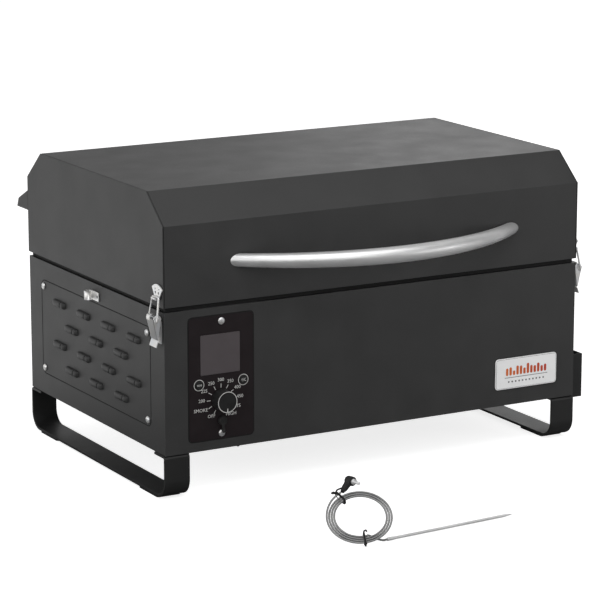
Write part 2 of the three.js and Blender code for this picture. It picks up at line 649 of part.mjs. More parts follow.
// Flat bar bent to a U that runs front to back, with flanges turned in under the body.
function leg(x0) {
  const { width, thick, bend, flange, padHeight } = LEG;
  const top = BODY_BOTTOM - GAP;
  const tight = 4;
  const path = new THREE.Shape();
  const half = HALF_DEPTH;
  path.moveTo(-half + flange, top);
  path.absarc(-half + tight, top - tight, tight, Math.PI / 2, Math.PI, false);
  path.absarc(-half + bend, padHeight + bend, bend, Math.PI, Math.PI * 1.5, false);
  path.absarc(half - bend, padHeight + bend, bend, Math.PI * 1.5, Math.PI * 2, false);
  path.absarc(half - tight, top - tight, tight, 0, Math.PI / 2, false);
  path.lineTo(half - flange, top);
  path.lineTo(half - flange, top - thick);
  path.absarc(half - tight, top - tight, tight - thick, Math.PI / 2, 0, true);
  path.absarc(half - bend, padHeight + bend, bend - thick, 0, -Math.PI / 2, true);
  path.absarc(-half + bend, padHeight + bend, bend - thick, -Math.PI / 2, -Math.PI, true);
  path.absarc(-half + tight, top - tight, tight - thick, Math.PI, Math.PI / 2, true);
  path.lineTo(-half + flange, top - thick);
  return alongX(path, x0, x0 + width, 4);
}

function footPad(x0, way) {
  const x = x0 + (LEG.width - PAD.width) / 2;
  const outer = way * (HALF_DEPTH - PAD.inset);
  return slab(x, x + PAD.width, outer, outer - way * PAD.length, 0, LEG.padHeight - GAP);
}

// ---------------------------------------------------------------- grease drawer

// Open box outside the right wall, with a shallow flanged tongue under the body.
function greaseDrawer() {
  const { x0, x1, y0, tongueY, y1, bottom, top, thick } = GREASE;
  const wall = LID_X + 0.4;
  const rim = 52.5;
  const box = cut(slab(wall, x1, y0, y1, bottom, top),
    slab(wall + thick, x1 - thick, y0 + thick, y1 - thick, bottom + thick, top + 5));
  const tongue = cut(slab(x0, wall + 0.5, tongueY, y1, bottom, rim),
    slab(x0 + thick, wall + 5, tongueY + thick, y1 - thick, bottom + thick, rim + 5));
  const flanges = [[tongueY - 3, tongueY + 0.5], [y1 - 0.5, y1 + 3]].map(
    ([near, far]) => slab(x0, 276, near, far, 51.3, rim));
  const passage = slab(wall - 1, wall + 5, tongueY + thick, y1 - thick, bottom + thick, rim - 1);
  return cut(join(box, tongue, ...flanges), passage);
}

// ---------------------------------------------------------------- pellet feed and fire

function pelletHopper() {
  const { top, shoulder, thick } = HOPPER;
  const bottom = AUGER.z + AUGER.tube + 0.6;
  const wide = [HOPPER.left, HOPPER.right, HOPPER.front, HOPPER.back];
  const narrow = [-203, -167, AUGER.y - 14, AUGER.y + 14];
  const inset = ([x0, x1, y0, y1], by) => [x0 + by, x1 - by, y0 + by, y1 - by];
  const outer = join(
    slab(...wide, shoulder, top),
    hopperShape(wide, narrow, shoulder + 0.01, bottom));
  const [wideIn, narrowIn] = [inset(wide, thick), inset(narrow, thick)];
  return cut(outer,
    slab(...wideIn, shoulder, top + 5),
    hopperShape(wideIn, narrowIn, shoulder + 0.01, bottom),
    slab(...narrowIn, bottom - 5, bottom + 0.5));
}

function partitionWall() {
  const wall = slab(CHAMBER_X - SHEET, CHAMBER_X, -DEPTH_IN + GAP, DEPTH_IN - GAP,
    BODY_BOTTOM + SHEET + GAP, BODY_TOP - SHEET - GAP);
  return cut(wall,
    rodX(CHAMBER_X - 5, CHAMBER_X + 5, AUGER.y, AUGER.z, AUGER.tube + 0.6, 20),
    rodX(CHAMBER_X - 5, CHAMBER_X + 5, FAN.y, FAN.z, FAN.bore - 1, 20));
}

function augerTube() {
  const { y, z, tube, left, right } = AUGER;
  const inlet = slab(-205, -165, y - 12, y + 12, z, z + tube + 5);
  return cut(rodX(left, right, y, z, tube, 16), rodX(left - 5, right + 5, y, z, tube - SHEET, 16), inlet);
}

// Shaft with one helical flight: a bladed section carried along the axis while it turns.
function augerScrew() {
  const { y, z, flight, shaft, left, right } = AUGER;
  const length = right - left - 4;
  const turns = length / 48;
  const section = new THREE.Shape();
  section.absarc(0, 0, shaft, 0.35, Math.PI * 2 - 0.35, false);
  section.lineTo(flight, -2.2);
  section.lineTo(flight, 2.2);
  const steps = Math.round(turns * 6);
  const geometry = new THREE.ExtrudeGeometry(section, {
    depth: length, steps, bevelEnabled: false, curveSegments: 6 });
  const position = geometry.attributes.position;
  for (let i = 0; i < position.count; i += 1) {
    const along = position.getZ(i);
    const turn = (2 * Math.PI * turns * along) / length;
    const [u, v] = [position.getX(i), position.getY(i)];
    position.setXYZ(i, left + 2 + along,
      y + u * Math.cos(turn) - v * Math.sin(turn),
      z + u * Math.sin(turn) + v * Math.cos(turn));
  }
  return geometry;
}

function augerMotor() {
  const { y, z, left } = AUGER;
  return join(
    slab(left - 28, left - 3, y - 26, y + 26, z - 24, z + 24),
    rodX(left - 51, left - 27, y, z, 19, 16));
}

function fanHousing() {
  const { y, z, size, bore, depth } = FAN;
  const face = CHAMBER_X - SHEET - GAP;
  const frame = cut(
    slab(face - depth, face, y - size / 2, y + size / 2, z - size / 2, z + size / 2),
    rodX(face - depth - 1, face + 1, y, z, bore, 24));
  return join(frame,
    slab(face - depth, face - depth + 3, y - bore - 1, y + bore + 1, z - 2, z + 2),
    slab(face - depth, face - depth + 3, y - 2, y + 2, z - bore - 1, z + bore + 1),
    rodX(face - depth, face - depth + 6, y, z, 13, 12));
}

function fanImpeller() {
  const { y, z, bore, depth } = FAN;
  const face = CHAMBER_X - SHEET - GAP;
  const hub = rodX(face - depth + 6.5, face - 3, y, z, 13, 14);
  const blades = Array.from({ length: 7 }, (_, i) => new THREE.BoxGeometry(16, 1.6, bore - 13)
    .rotateZ(THREE.MathUtils.degToRad(35))
    .translate(0, 0, (bore - 3 + 12) / 2)
    .rotateX((2 * Math.PI * i) / 7)
    .translate(face - 10.5, y, z));
  return join(hub, ...blades);
}

// Burn cup with an opening for the auger tube, a hole for the igniter and air holes.
function firepot() {
  const floor = BODY_BOTTOM + SHEET + GAP;
  const { x, radius, height } = POT;
  const y = AUGER.y;
  const airHoles = Array.from({ length: 4 }, (_, i) => rodX(0, radius + 10, 0, 0, 3, 6)
    .rotateZ(THREE.MathUtils.degToRad(-60 + 40 * i))
    .translate(x, y, floor + 14));
  return cut(rodZ(floor, floor + height, x, y, radius, 18),
    rodZ(floor + 2, floor + height + 5, x, y, radius - 2, 18),
    rodX(x - radius - 5, x - 10, y, AUGER.z, AUGER.tube + 0.8, 16),
    rodX(x - radius - 5, x, y - 27, floor + 8, 5.3, 10),
    ...airHoles);
}

function igniter() {
  return rodX(-60, 47, AUGER.y - 27, BODY_BOTTOM + SHEET + GAP + 8, 4.75, 12);
}

// Bent plate standing over the burn cup on its two skirts.
function heatBaffle() {
  const { x0, x1, y0, y1, shoulder, top, slope, thick } = BAFFLE;
  const floor = BODY_BOTTOM + SHEET + GAP;
  const profile = sheet([[y0, floor], [y0, shoulder], [y0 + slope, top],
    [y1 - slope, top], [y1, shoulder], [y1, floor]], thick);
  return alongX(profile, x0, x1);
}

function trayFloor(x) {
  const { left, gutter, high, low } = TRAY;
  return high - ((x - left) * (high - low)) / (gutter - left);
}

// Sloping pan with a gutter and drain hole above the chute.
function dripTray() {
  const { left, lip, high, gutter, low, right, halfDepth: y } = TRAY;
  const trough = low - 11;
  const floorLine = [
    [left, lip], [left, high], [gutter, low], [gutter + 2, trough], [right, trough], [right, low + 10]];
  const pan = alongY(sheet(floorLine, SHEET), -y, y);
  const cheek = outline(floorLine);
  const cheeks = [alongY(cheek, -y, -y + SHEET), alongY(cheek, y - SHEET, y)];
  return cut(join(pan, ...cheeks), rodZ(trough - 7, trough + 11, right - 9, CHUTE.y, 5, 12));
}

function cookingGrate() {
  const { left, right, halfDepth, rod, bars, z, tie } = GRATE;
  const pitch = (right - left) / (bars - 1);
  const rods = Array.from({ length: bars }, (_, i) => left + i * pitch).map((x) => slab(
    x - rod / 2, x + rod / 2, -halfDepth, halfDepth, z, z + rod));
  const ties = [-halfDepth, 0, halfDepth].map((y) => slab(
    left - rod / 2, right + rod / 2, y - tie / 2, y + tie / 2, z - 3.7, z + 1));
  return join(...rods, ...ties);
}

function temperatureSensor() {
  const x = CHAMBER_X + GAP;
  const { y, z, flange, length, radius } = SENSOR;
  return join(
    slab(x, x + SHEET, y - flange / 2, y + flange / 2, z - 6, z + 10),
    rodX(x + 1, x + length, y, z, radius, 10));
}

function powerInlet() {
  const { x, z, flangeX, flangeZ, bodyX, bodyZ, depth } = INLET;
  const face = HALF_DEPTH + GAP;
  const centred = (width, height, y0, y1) => slab(
    x - width / 2, x + width / 2, y0, y1, z - height / 2, z + height / 2);
  return cut(
    join(centred(flangeX, flangeZ, face, face + 2.5), centred(bodyX, bodyZ, face - depth, face + 1)),
    centred(bodyX - 6, bodyZ - 6, face - depth + 8, face + 4));
}

// ---------------------------------------------------------------- meat probe

// The needle lies along this line on the ground.
function needleLine(x) {
  return new THREE.Vector3(x, -427.5 + (x + 92.2) * 0.0656, 2.6);
}

function probeNeedle() {
  const { start, collar, taper, tip, radius } = NEEDLE;
  const stations = [[start, 1.9], [collar, 1.9], [collar + 0.5, radius], [taper, radius], [tip, 0.25]];
  return swept(stations.map(([x]) => needleLine(x)), stations.map(([, radius]) => radius), 10);
}

// A point of the coil: `degrees` and `radius` in its plane, and `lift` above the plane.
function coilPoint(degrees, radius, lift = 0) {
  const angle = THREE.MathUtils.degToRad(degrees);
  const point = new THREE.Vector3(
    radius * Math.cos(angle), COIL.outer + radius * Math.sin(angle), lift);
  return point.applyMatrix4(coilPlane());
}

// The coil's plane, with its origin at the front of the outer turn and Y up the slope.
function coilPlane() {
  return new THREE.Matrix4()
    .makeTranslation(COIL.x, COIL.y, COIL.rise)
    .multiply(new THREE.Matrix4().makeRotationZ(THREE.MathUtils.degToRad(COIL.turn)))
    .multiply(new THREE.Matrix4().makeRotationX(THREE.MathUtils.degToRad(COIL.tilt)));
}

// Braided cable: in from the needle under the coil, then a spiral that grows to its outer
// turn and lifts off it towards the plug.
function probeCable() {
  const { start, end } = COIL_ANGLES;
  const steps = 62;
  const points = [needleLine(NEEDLE.start - 0.5), needleLine(NEEDLE.start - 5),
    new THREE.Vector3(-149, -431.6, 5.4)];
  for (let i = 0; i <= steps; i += 1) {
    const share = i / steps;
    const degrees = start + (end - start) * share;
    const lift = 4 * THREE.MathUtils.smoothstep(degrees, end, end + 80);
    points.push(coilPoint(degrees, COIL.inner + (COIL.outer - COIL.inner) * share, 4 - lift));
  }
  return swept(points, points.map(() => COIL.cable), 6);
}

// Right-angle plug: strain relief that swells into the elbow, barrel and pin.
function probePlug() {
  const { boot, pin: pinRadius, length } = PLUG;
  const elbow = new THREE.Vector3(PLUG.x, PLUG.y, PLUG.z);
  const foot = coilPoint(COIL_ANGLES.end - 3, COIL.outer, 4.2);
  const pin = new THREE.Vector3(0.16, -0.98, 0.03).normalize();
  const along = (distance) => elbow.clone().addScaledVector(pin, distance);
  const relief = [0, 0.3, 0.65, 1].map((share) => foot.clone().lerp(elbow, share));
  return join(
    swept(relief, [2.3, 3.4, 4, boot], 10),
    swept([along(-boot), along(6)], [boot, boot], 12),
    swept([along(5.5), along(length - 2.5), along(length)], [pinRadius, pinRadius, 1], 10));
}

// Twist tie around the bundle of cable at an angle of the coil.
function cableTie(degrees) {
  const loop = cut(new THREE.BoxGeometry(16.8, 2, 9.8), new THREE.BoxGeometry(14.6, 6, 7.8));
  return loop
    .translate((COIL.outer + COIL.inner) / 2 + 0.4, 0, 1.9)
    .rotateZ(THREE.MathUtils.degToRad(degrees))
    .translate(0, COIL.outer, 0)
    .applyMatrix4(coilPlane());
}

// ---------------------------------------------------------------- assembly

const M = MATERIALS;
part('body_shell', bodyShell(), M.shell);
part('rim_gasket', rimGasket(), M.rubber);
part('lid_shell', lidShell(), M.shell);
part('rear_vent_hood', rearVentHood(), M.shell);
part('lid_handle', lidHandle(), M.steel);
part('handle_bolt_left', handleBolt(-1), M.zinc);
part('handle_bolt_right', handleBolt(1), M.zinc);
part('hinge_lid_leaf', hingeLeaf(1), M.black);
part('hinge_body_leaf', hingeLeaf(-1), M.black);
part('hinge_pin', hingePin(), M.zinc);

for (const [name, way] of [['left', -1], ['right', 1]]) {
  part(`latch_keeper_${name}`, latchKeeper(way), M.zinc);
  part(`latch_bail_${name}`, latchBail(way), M.zinc);
  part(`latch_lever_${name}`, latchLever(way), M.zinc);
  part(`latch_base_${name}`, latchBase(way), M.zinc);
}

part('louvered_side_panel', sidePanel(), M.shell);
sidePanelScrews().forEach(([y, z], i) => {
  const screw = screwGeometry().rotateY(-Math.PI / 2).translate(-BODY_X - GAP, y, z);
  part(`side_panel_screw_${i + 1}`, screw, M.zinc);
});
part('cable_clip', cableClip(), M.zinc);
part('front_badge', badge(), M.badge);

part('control_panel', controlPanel(), M.gloss);
part('display_window', displayWindow(), M.display);
part('temperature_knob', knob(), M.plastic);
part('probe_button', pushButton(BUTTON.left), M.plastic);
part('units_button', pushButton(BUTTON.right), M.plastic);
part('probe_socket', probeSocket(), M.black);
part('socket_cap', socketCap(), M.rubber);
controlScrews().forEach(([x, z], i) => {
  const screw = screwGeometry().rotateX(Math.PI / 2)
    .translate(x, -HALF_DEPTH - CONTROL.proud - GAP, z);
  part(`control_screw_${i + 1}`, screw, M.zinc);
});

for (const [name, x0] of [['left', -LID_X], ['right', LID_X - LEG.width]]) {
  part(`leg_${name}`, leg(x0), M.black);
  part(`foot_pad_front_${name}`, footPad(x0, -1), M.rubber);
  part(`foot_pad_rear_${name}`, footPad(x0, 1), M.rubber);
}
part('grease_drawer', greaseDrawer(), M.black);

part('pellet_hopper', pelletHopper(), M.galvanised);
part('partition_wall', partitionWall(), M.galvanised);
part('auger_tube', augerTube(), M.galvanised);
part('auger_screw', augerScrew(), M.steel);
part('auger_motor', augerMotor(), M.zinc);
part('fan_housing', fanHousing(), M.plastic);
part('fan_impeller', fanImpeller(), M.plastic);
part('firepot', firepot(), M.steel);
part('igniter_rod', igniter(), M.steel);
part('heat_baffle', heatBaffle(), M.galvanised);
part('drip_tray', dripTray(), M.galvanised);
part('cooking_grate', cookingGrate(), M.enamel);
part('temperature_sensor', temperatureSensor(), M.steel);
part('power_inlet', powerInlet(), M.plastic);

part('probe_needle', probeNeedle(), M.steel);
part('probe_cable', probeCable(), M.braid);
part('probe_plug', probePlug(), M.rubber);
part('cable_tie_front', cableTie(COIL_ANGLES.frontTie), M.rubber);
part('cable_tie_rear', cableTie(COIL_ANGLES.rearTie), M.rubber);

const bounds = new THREE.Box3().setFromObject(grill);
grill.position.set(-(bounds.min.x + bounds.max.x) / 2, -(bounds.min.y + bounds.max.y) / 2, -bounds.min.z);

export default grill;
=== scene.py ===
import json
import math

import bmesh
import bpy
from mathutils import Matrix, Vector


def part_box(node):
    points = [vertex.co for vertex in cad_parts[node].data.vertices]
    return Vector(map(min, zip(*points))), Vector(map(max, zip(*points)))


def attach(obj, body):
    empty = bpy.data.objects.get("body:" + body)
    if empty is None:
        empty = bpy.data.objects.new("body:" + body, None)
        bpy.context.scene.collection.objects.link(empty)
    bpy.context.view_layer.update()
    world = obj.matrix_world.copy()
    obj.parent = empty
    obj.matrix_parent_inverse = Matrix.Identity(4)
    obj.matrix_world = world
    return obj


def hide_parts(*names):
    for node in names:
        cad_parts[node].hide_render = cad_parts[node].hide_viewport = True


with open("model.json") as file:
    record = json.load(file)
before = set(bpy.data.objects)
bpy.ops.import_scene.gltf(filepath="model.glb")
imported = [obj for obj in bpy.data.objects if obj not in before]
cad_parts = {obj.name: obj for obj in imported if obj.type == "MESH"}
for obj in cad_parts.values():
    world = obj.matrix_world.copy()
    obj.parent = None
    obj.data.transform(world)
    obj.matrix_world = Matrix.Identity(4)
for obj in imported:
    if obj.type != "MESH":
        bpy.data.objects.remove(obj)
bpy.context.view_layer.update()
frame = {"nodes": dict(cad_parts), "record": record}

# Looks of the pellet smoker grill. Lengths in the shape code are millimetres, measured from the
# middle of the lid in plan, with z = 0 on the ground; place() turns them into the frame's metres.

MM = 0.001
LID_LOW, LID_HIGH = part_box("lid_shell")
MIDDLE = (LID_LOW + LID_HIGH) / 2


def place(point):
    return Vector((MIDDLE.x + point[0] * MM, MIDDLE.y + point[1] * MM, point[2] * MM))


def span(node):
    """Lowest and highest corners of a CAD node in the shape code's millimetres."""
    return [Vector(((c.x - MIDDLE.x) / MM, (c.y - MIDDLE.y) / MM, c.z / MM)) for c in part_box(node)]


# ---------------------------------------------------------------- material graphs


class Graph:
    """A material under construction, with short calls for the nodes it needs."""

    def __init__(self, name):
        self.material = bpy.data.materials.new(name)
        self.material.use_nodes = True
        self.tree = self.material.node_tree
        self.shader = self.tree.nodes["Principled BSDF"]
        self.coords = self.node("ShaderNodeTexCoord").outputs["Object"]
        self.bump = None

    def node(self, kind, inputs=None, **settings):
        made = self.tree.nodes.new(kind)
        for key, value in settings.items():
            setattr(made, key, value)
        for key, value in (inputs or {}).items():
            self.feed(made.inputs[key], value)
        return made

    def feed(self, socket, value):
        if isinstance(value, bpy.types.NodeSocket):
            self.tree.links.new(value, socket)
        else:
            socket.default_value = value

    def stretched(self, stretch):
        return self.node("ShaderNodeMapping", {"Vector": self.coords, "Scale": stretch}).outputs[0]

    def noise(self, size, detail=3.0, stretch=(1, 1, 1)):
        """Noise with features about `size` millimetres across."""
        return self.node("ShaderNodeTexNoise", {
            "Vector": self.stretched(stretch), "Scale": 1 / (size * MM),
            "Detail": detail}).outputs["Fac"]

    def cells(self, size, output="Color"):
        return self.node("ShaderNodeTexVoronoi", {
            "Vector": self.coords, "Scale": 1 / (size * MM)}).outputs[output]

    def ranged(self, value, low, high, start=0.3, stop=0.7):
        return self.node("ShaderNodeMapRange", {
            "Value": value, "From Min": start, "From Max": stop, "To Min": low,
            "To Max": high}).outputs[0]

    def maths(self, operation, a, b):
        return self.node("ShaderNodeMath", {0: a, 1: b}, operation=operation).outputs[0]

    def mix(self, share, a, b):
        made = self.node("ShaderNodeMix", data_type="RGBA")
        self.feed(made.inputs["Factor"], share)
        self.feed(made.inputs["A"], a)
        self.feed(made.inputs["B"], b)
        return made.outputs["Result"]

    def edges(self, radius):
        """1 on convex edges and 0 on flats, from how far the rounded normal leaves the true one."""
        rounded = self.node("ShaderNodeBevel", {"Radius": radius * MM}, samples=4).outputs[0]
        true = self.node("ShaderNodeNewGeometry").outputs["Normal"]
        dot = self.node("ShaderNodeVectorMath", {0: rounded, 1: true}, operation="DOT_PRODUCT")
        return self.ranged(dot.outputs["Value"], 1.0, 0.0, 0.75, 0.995)

    def crevice_shade(self, reach):
        """Mask for painted shade: 0 deep in gaps and corners, 1 in the open."""
        open_share = self.node("ShaderNodeAmbientOcclusion", {"Distance": reach * MM}, samples=6)
        return self.ranged(open_share.outputs["AO"], 0.0, 1.0, 0.3, 0.92)

    def raise_by(self, height, depth):
        """Adds a bump layer `depth` millimetres deep."""
        layer = self.node("ShaderNodeBump", {
            "Height": height, "Distance": depth * MM, "Strength": 1.0})
        if self.bump is not None:
            self.feed(layer.inputs["Normal"], self.bump)
        self.bump = layer.outputs["Normal"]

    def done(self, **inputs):
        for key, value in inputs.items():
            self.feed(self.shader.inputs[key.replace("_", " ")], value)
        if self.bump is not None:
            self.feed(self.shader.inputs["Normal"], self.bump)
        return self.material


def grey(value, warmth=0.0):
    return (value * (1 + warmth), value, value * (1 - warmth), 1)


def powder_coat(name, tone, roughness, wear):
    """Powder coat: fine orange peel over a gritty base, lighter along worn edges, with painted shade
    darkening gaps and corners.
    """
    g = Graph(name)
    cloud = g.noise(45, 4)
    speck = g.noise(0.7, 2)
    base = g.mix(g.ranged(cloud, 0, 1), grey(tone * 0.9), grey(tone * 1.12))
    base = g.mix(g.ranged(speck, 0, 0.35, 0.5, 0.75), base, grey(tone * 1.9))
    worn = g.maths("MULTIPLY", g.edges(0.7), g.ranged(g.noise(5, 5), 0, wear, 0.42, 0.68))
    base = g.mix(worn, base, grey(tone * 4))
    # Painted shade: the coat goes nearly black deep in gaps and corners, where shade falls.
    base = g.mix(g.crevice_shade(5), grey(tone * 0.15), base)
    g.raise_by(g.noise(1.3, 3), 0.05)
    g.raise_by(g.noise(0.45, 2), 0.03)
    rough = g.maths("ADD", g.ranged(cloud, roughness - 0.04, roughness + 0.04),
                    g.ranged(speck, -0.05, 0.05))
    return g.done(Base_Color=base, Roughness=rough, Specular_IOR_Level=0.5)


def porcelain(name):
    """Porcelain enamel on the grate: glossy, with tiny pits and baked-on haze."""
    g = Graph(name)
    haze = g.noise(18, 5)
    base = g.mix(g.ranged(haze, 0, 1), grey(0.010), grey(0.022, 0.1))
    g.raise_by(g.noise(2.2, 2), 0.04)
    return g.done(Base_Color=base, Roughness=g.ranged(haze, 0.18, 0.42), Coat_Weight=0.3,
                  Coat_Roughness=0.1)


def stainless(name, tone, roughness, stretch, grain=0.5, metal=1.0):
    """Brushed stainless steel; `stretch` makes the grain long along one axis."""
    g = Graph(name)
    streak = g.noise(grain, 3, stretch)
    broad = g.noise(grain * 7, 2, stretch)
    base = g.mix(g.ranged(broad, 0, 1), grey(tone * 0.9), grey(tone * 1.05))
    smear = g.noise(25, 3)
    rough = g.maths("ADD", g.ranged(streak, roughness - 0.05, roughness + 0.07),
                    g.ranged(smear, -0.02, 0.05))
    g.raise_by(streak, 0.001)
    return g.done(Base_Color=base, Metallic=metal, Roughness=rough, Anisotropic=0.1)


def zinc(name, level):
    """Zinc plate: slight blue and straw patches over a fine rolled grain."""
    g = Graph(name)
    patch = g.noise(9, 2)
    cool = (level * 0.93, level * 0.95, level * 0.98, 1)
    warm = (level * 1.02, level, level * 0.96, 1)
    base = g.mix(g.ranged(patch, 0, 1), cool, warm)
    grain = g.noise(1.5, 2, (1, 1, 0.15))
    worn = g.maths("MULTIPLY", g.edges(0.4), 0.5)
    base = g.mix(worn, base, (0.92, 0.92, 0.92, 1))
    g.raise_by(grain, 0.004)
    return g.done(Base_Color=base, Metallic=0.75, Roughness=g.ranged(grain, 0.31, 0.38))


def galvanised(name):
    """Hot-dip galvanised sheet with spangle."""
    g = Graph(name)
    spangle = g.cells(7)
    value = g.node("ShaderNodeSeparateColor", {"Color": spangle}).outputs[0]
    fine = g.noise(1.2, 4)
    base = g.mix(g.ranged(value, 0, 1, 0, 1), grey(0.36, -0.03), grey(0.55, -0.02))
    g.raise_by(fine, 0.02)
    rough = g.maths("ADD", g.ranged(value, 0.32, 0.5, 0, 1), g.ranged(fine, -0.04, 0.04))
    return g.done(Base_Color=base, Metallic=1.0, Roughness=rough)


def rubber(name, tone=0.012):
    g = Graph(name)
    dust = g.noise(4, 5)
    base = g.mix(g.ranged(dust, 0, 1, 0.45, 0.75), grey(tone), grey(tone * 2.6, 0.03))
    g.raise_by(g.noise(0.6, 3), 0.03)
    return g.done(Base_Color=base, Roughness=g.ranged(dust, 0.72, 0.88))


def moulded(name, tone):
    """Moulded plastic with a spark-eroded grain."""
    g = Graph(name)
    cloud = g.noise(14, 3)
    base = g.mix(g.ranged(cloud, 0, 1), grey(tone * 0.85), grey(tone * 1.2))
    g.raise_by(g.cells(0.35, "Distance"), 0.02)
    return g.done(Base_Color=base, Roughness=g.ranged(cloud, 0.37, 0.48), Specular_IOR_Level=0.45)


def overlay(name, dark, light, roughness, shine):
    """Printed film: even colour, a fine grain and a few finger smears."""
    g = Graph(name)
    smear = g.noise(16, 4, (1, 1, 1.8))
    base = g.mix(g.ranged(smear, 0, 1), dark, light)
    g.raise_by(g.noise(0.5, 2), 0.004)
    return g.done(Base_Color=base, Roughness=g.ranged(smear, roughness, roughness + 0.1),
                  Specular_IOR_Level=shine)


def ink(name, colour):
    """Printed ink with slightly uneven cover."""
    g = Graph(name)
    cover = g.noise(0.8, 3)
    dull = tuple(c * 0.82 for c in colour[:3]) + (1,)
    g.raise_by(cover, 0.01)
    return g.done(Base_Color=g.mix(g.ranged(cover, 0, 1), dull, colour), Roughness=0.5)


def warm_ink(name):
    """Orange to red print that runs from left to right of the badge."""
    g = Graph(name)
    split = g.node("ShaderNodeSeparateXYZ", {0: g.coords})
    cover = g.noise(0.8, 3)
    low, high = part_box("front_badge")
    run = g.ranged(split.outputs[0], 0, 1, low.x, high.x)
    base = g.mix(run, (0.78, 0.20, 0.02, 1), (0.50, 0.012, 0.008, 1))
    base = g.mix(g.ranged(cover, 0, 0.25), base, (0.30, 0.02, 0.01, 1))
    g.raise_by(cover, 0.01)
    return g.done(Base_Color=base, Roughness=0.42)


def braided(name):
    """Braided steel sleeve: two crossing helices of wire from the tube's own UV map, with painted shade
    between the windings.
    """
    g = Graph(name)
    uv = g.node("ShaderNodeUVMap", uv_map="UVMap").outputs[0]
    split = g.node("ShaderNodeSeparateXYZ", {0: uv})
    around, along = split.outputs[0], split.outputs[1]
    strands = []
    for way in (1, -1):
        phase = g.maths("ADD", g.maths("MULTIPLY", around, 2 * math.pi * 6 * way),
                        g.maths("MULTIPLY", along, 2 * math.pi * 0.9))
        strands.append(g.maths("SINE", phase, 0.0))
    weave = g.maths("MULTIPLY", strands[0], strands[1])
    shade = g.ranged(weave, 0, 1, -0.6, 0.6)
    soot = g.noise(6, 3)
    base = g.mix(shade, grey(0.22), grey(0.80))
    base = g.mix(g.ranged(soot, 0, 0.3), base, grey(0.5))
    # Painted shade: dark where the windings press together and in other gaps.
    base = g.mix(g.crevice_shade(2.5), grey(0.03), base)
    g.raise_by(weave, 0.12)
    return g.done(Base_Color=base, Metallic=0.85, Roughness=g.ranged(soot, 0.36, 0.5))


MATERIALS = {
    "shell": powder_coat("shell_powder_coat", 0.034, 0.50, 0.35),
    "black_metal": powder_coat("black_powder_coat", 0.016, 0.46, 0.30),
    "stainless": stainless("stainless_plain", 0.62, 0.36, (0.06, 1, 1)),
    "polished": stainless("handle_stainless", 0.95, 0.37, (0.01, 1, 1), 2.0, 0.75),
    "zinc": zinc("zinc_plate", 0.93),
    # Darker copy of the zinc: painted shade for the darker reflection on the lever channels.
    "shaded_zinc": zinc("zinc_painted_shade", 0.42),
    "galvanised": galvanised("galvanised_sheet"),
    "enamel": porcelain("grate_enamel"),
    "rubber": rubber("black_rubber"),
    "plastic": moulded("moulded_black", 0.014),
    "gloss_panel": overlay("panel_overlay", (0.0180, 0.0138, 0.0152, 1), (0.0205, 0.0158, 0.0172, 1),
                           0.34, 0.16),
    "display": overlay("display_film", (0.084, 0.073, 0.077, 1), (0.090, 0.079, 0.083, 1), 0.3, 0.15),
    "badge": overlay("badge_white", (0.93, 0.93, 0.93, 1), (0.96, 0.96, 0.96, 1), 0.3, 0.4),
    "braid": braided("steel_braid"),
    "white_ink": ink("legend_ink", (0.72, 0.72, 0.70, 1)),
    # Near-black rubber for the rim gasket, and painted shadow for the panel gap rings.
    "gasket_and_gap_shade": rubber("gasket_and_gap_shade", 0.004),
    "grey_ink": ink("grey_ink", (0.16, 0.16, 0.165, 1)),
    "warm_ink": warm_ink("badge_warm_ink"),
    "needle": stainless("needle_stainless", 0.93, 0.36, (0.05, 1, 1), 0.4, 0.5),
}


def dress(obj, slot, finish=None):
    obj.data.materials.clear()
    obj.data.materials.append(MATERIALS[finish or slot])


# ---------------------------------------------------------------- shapes


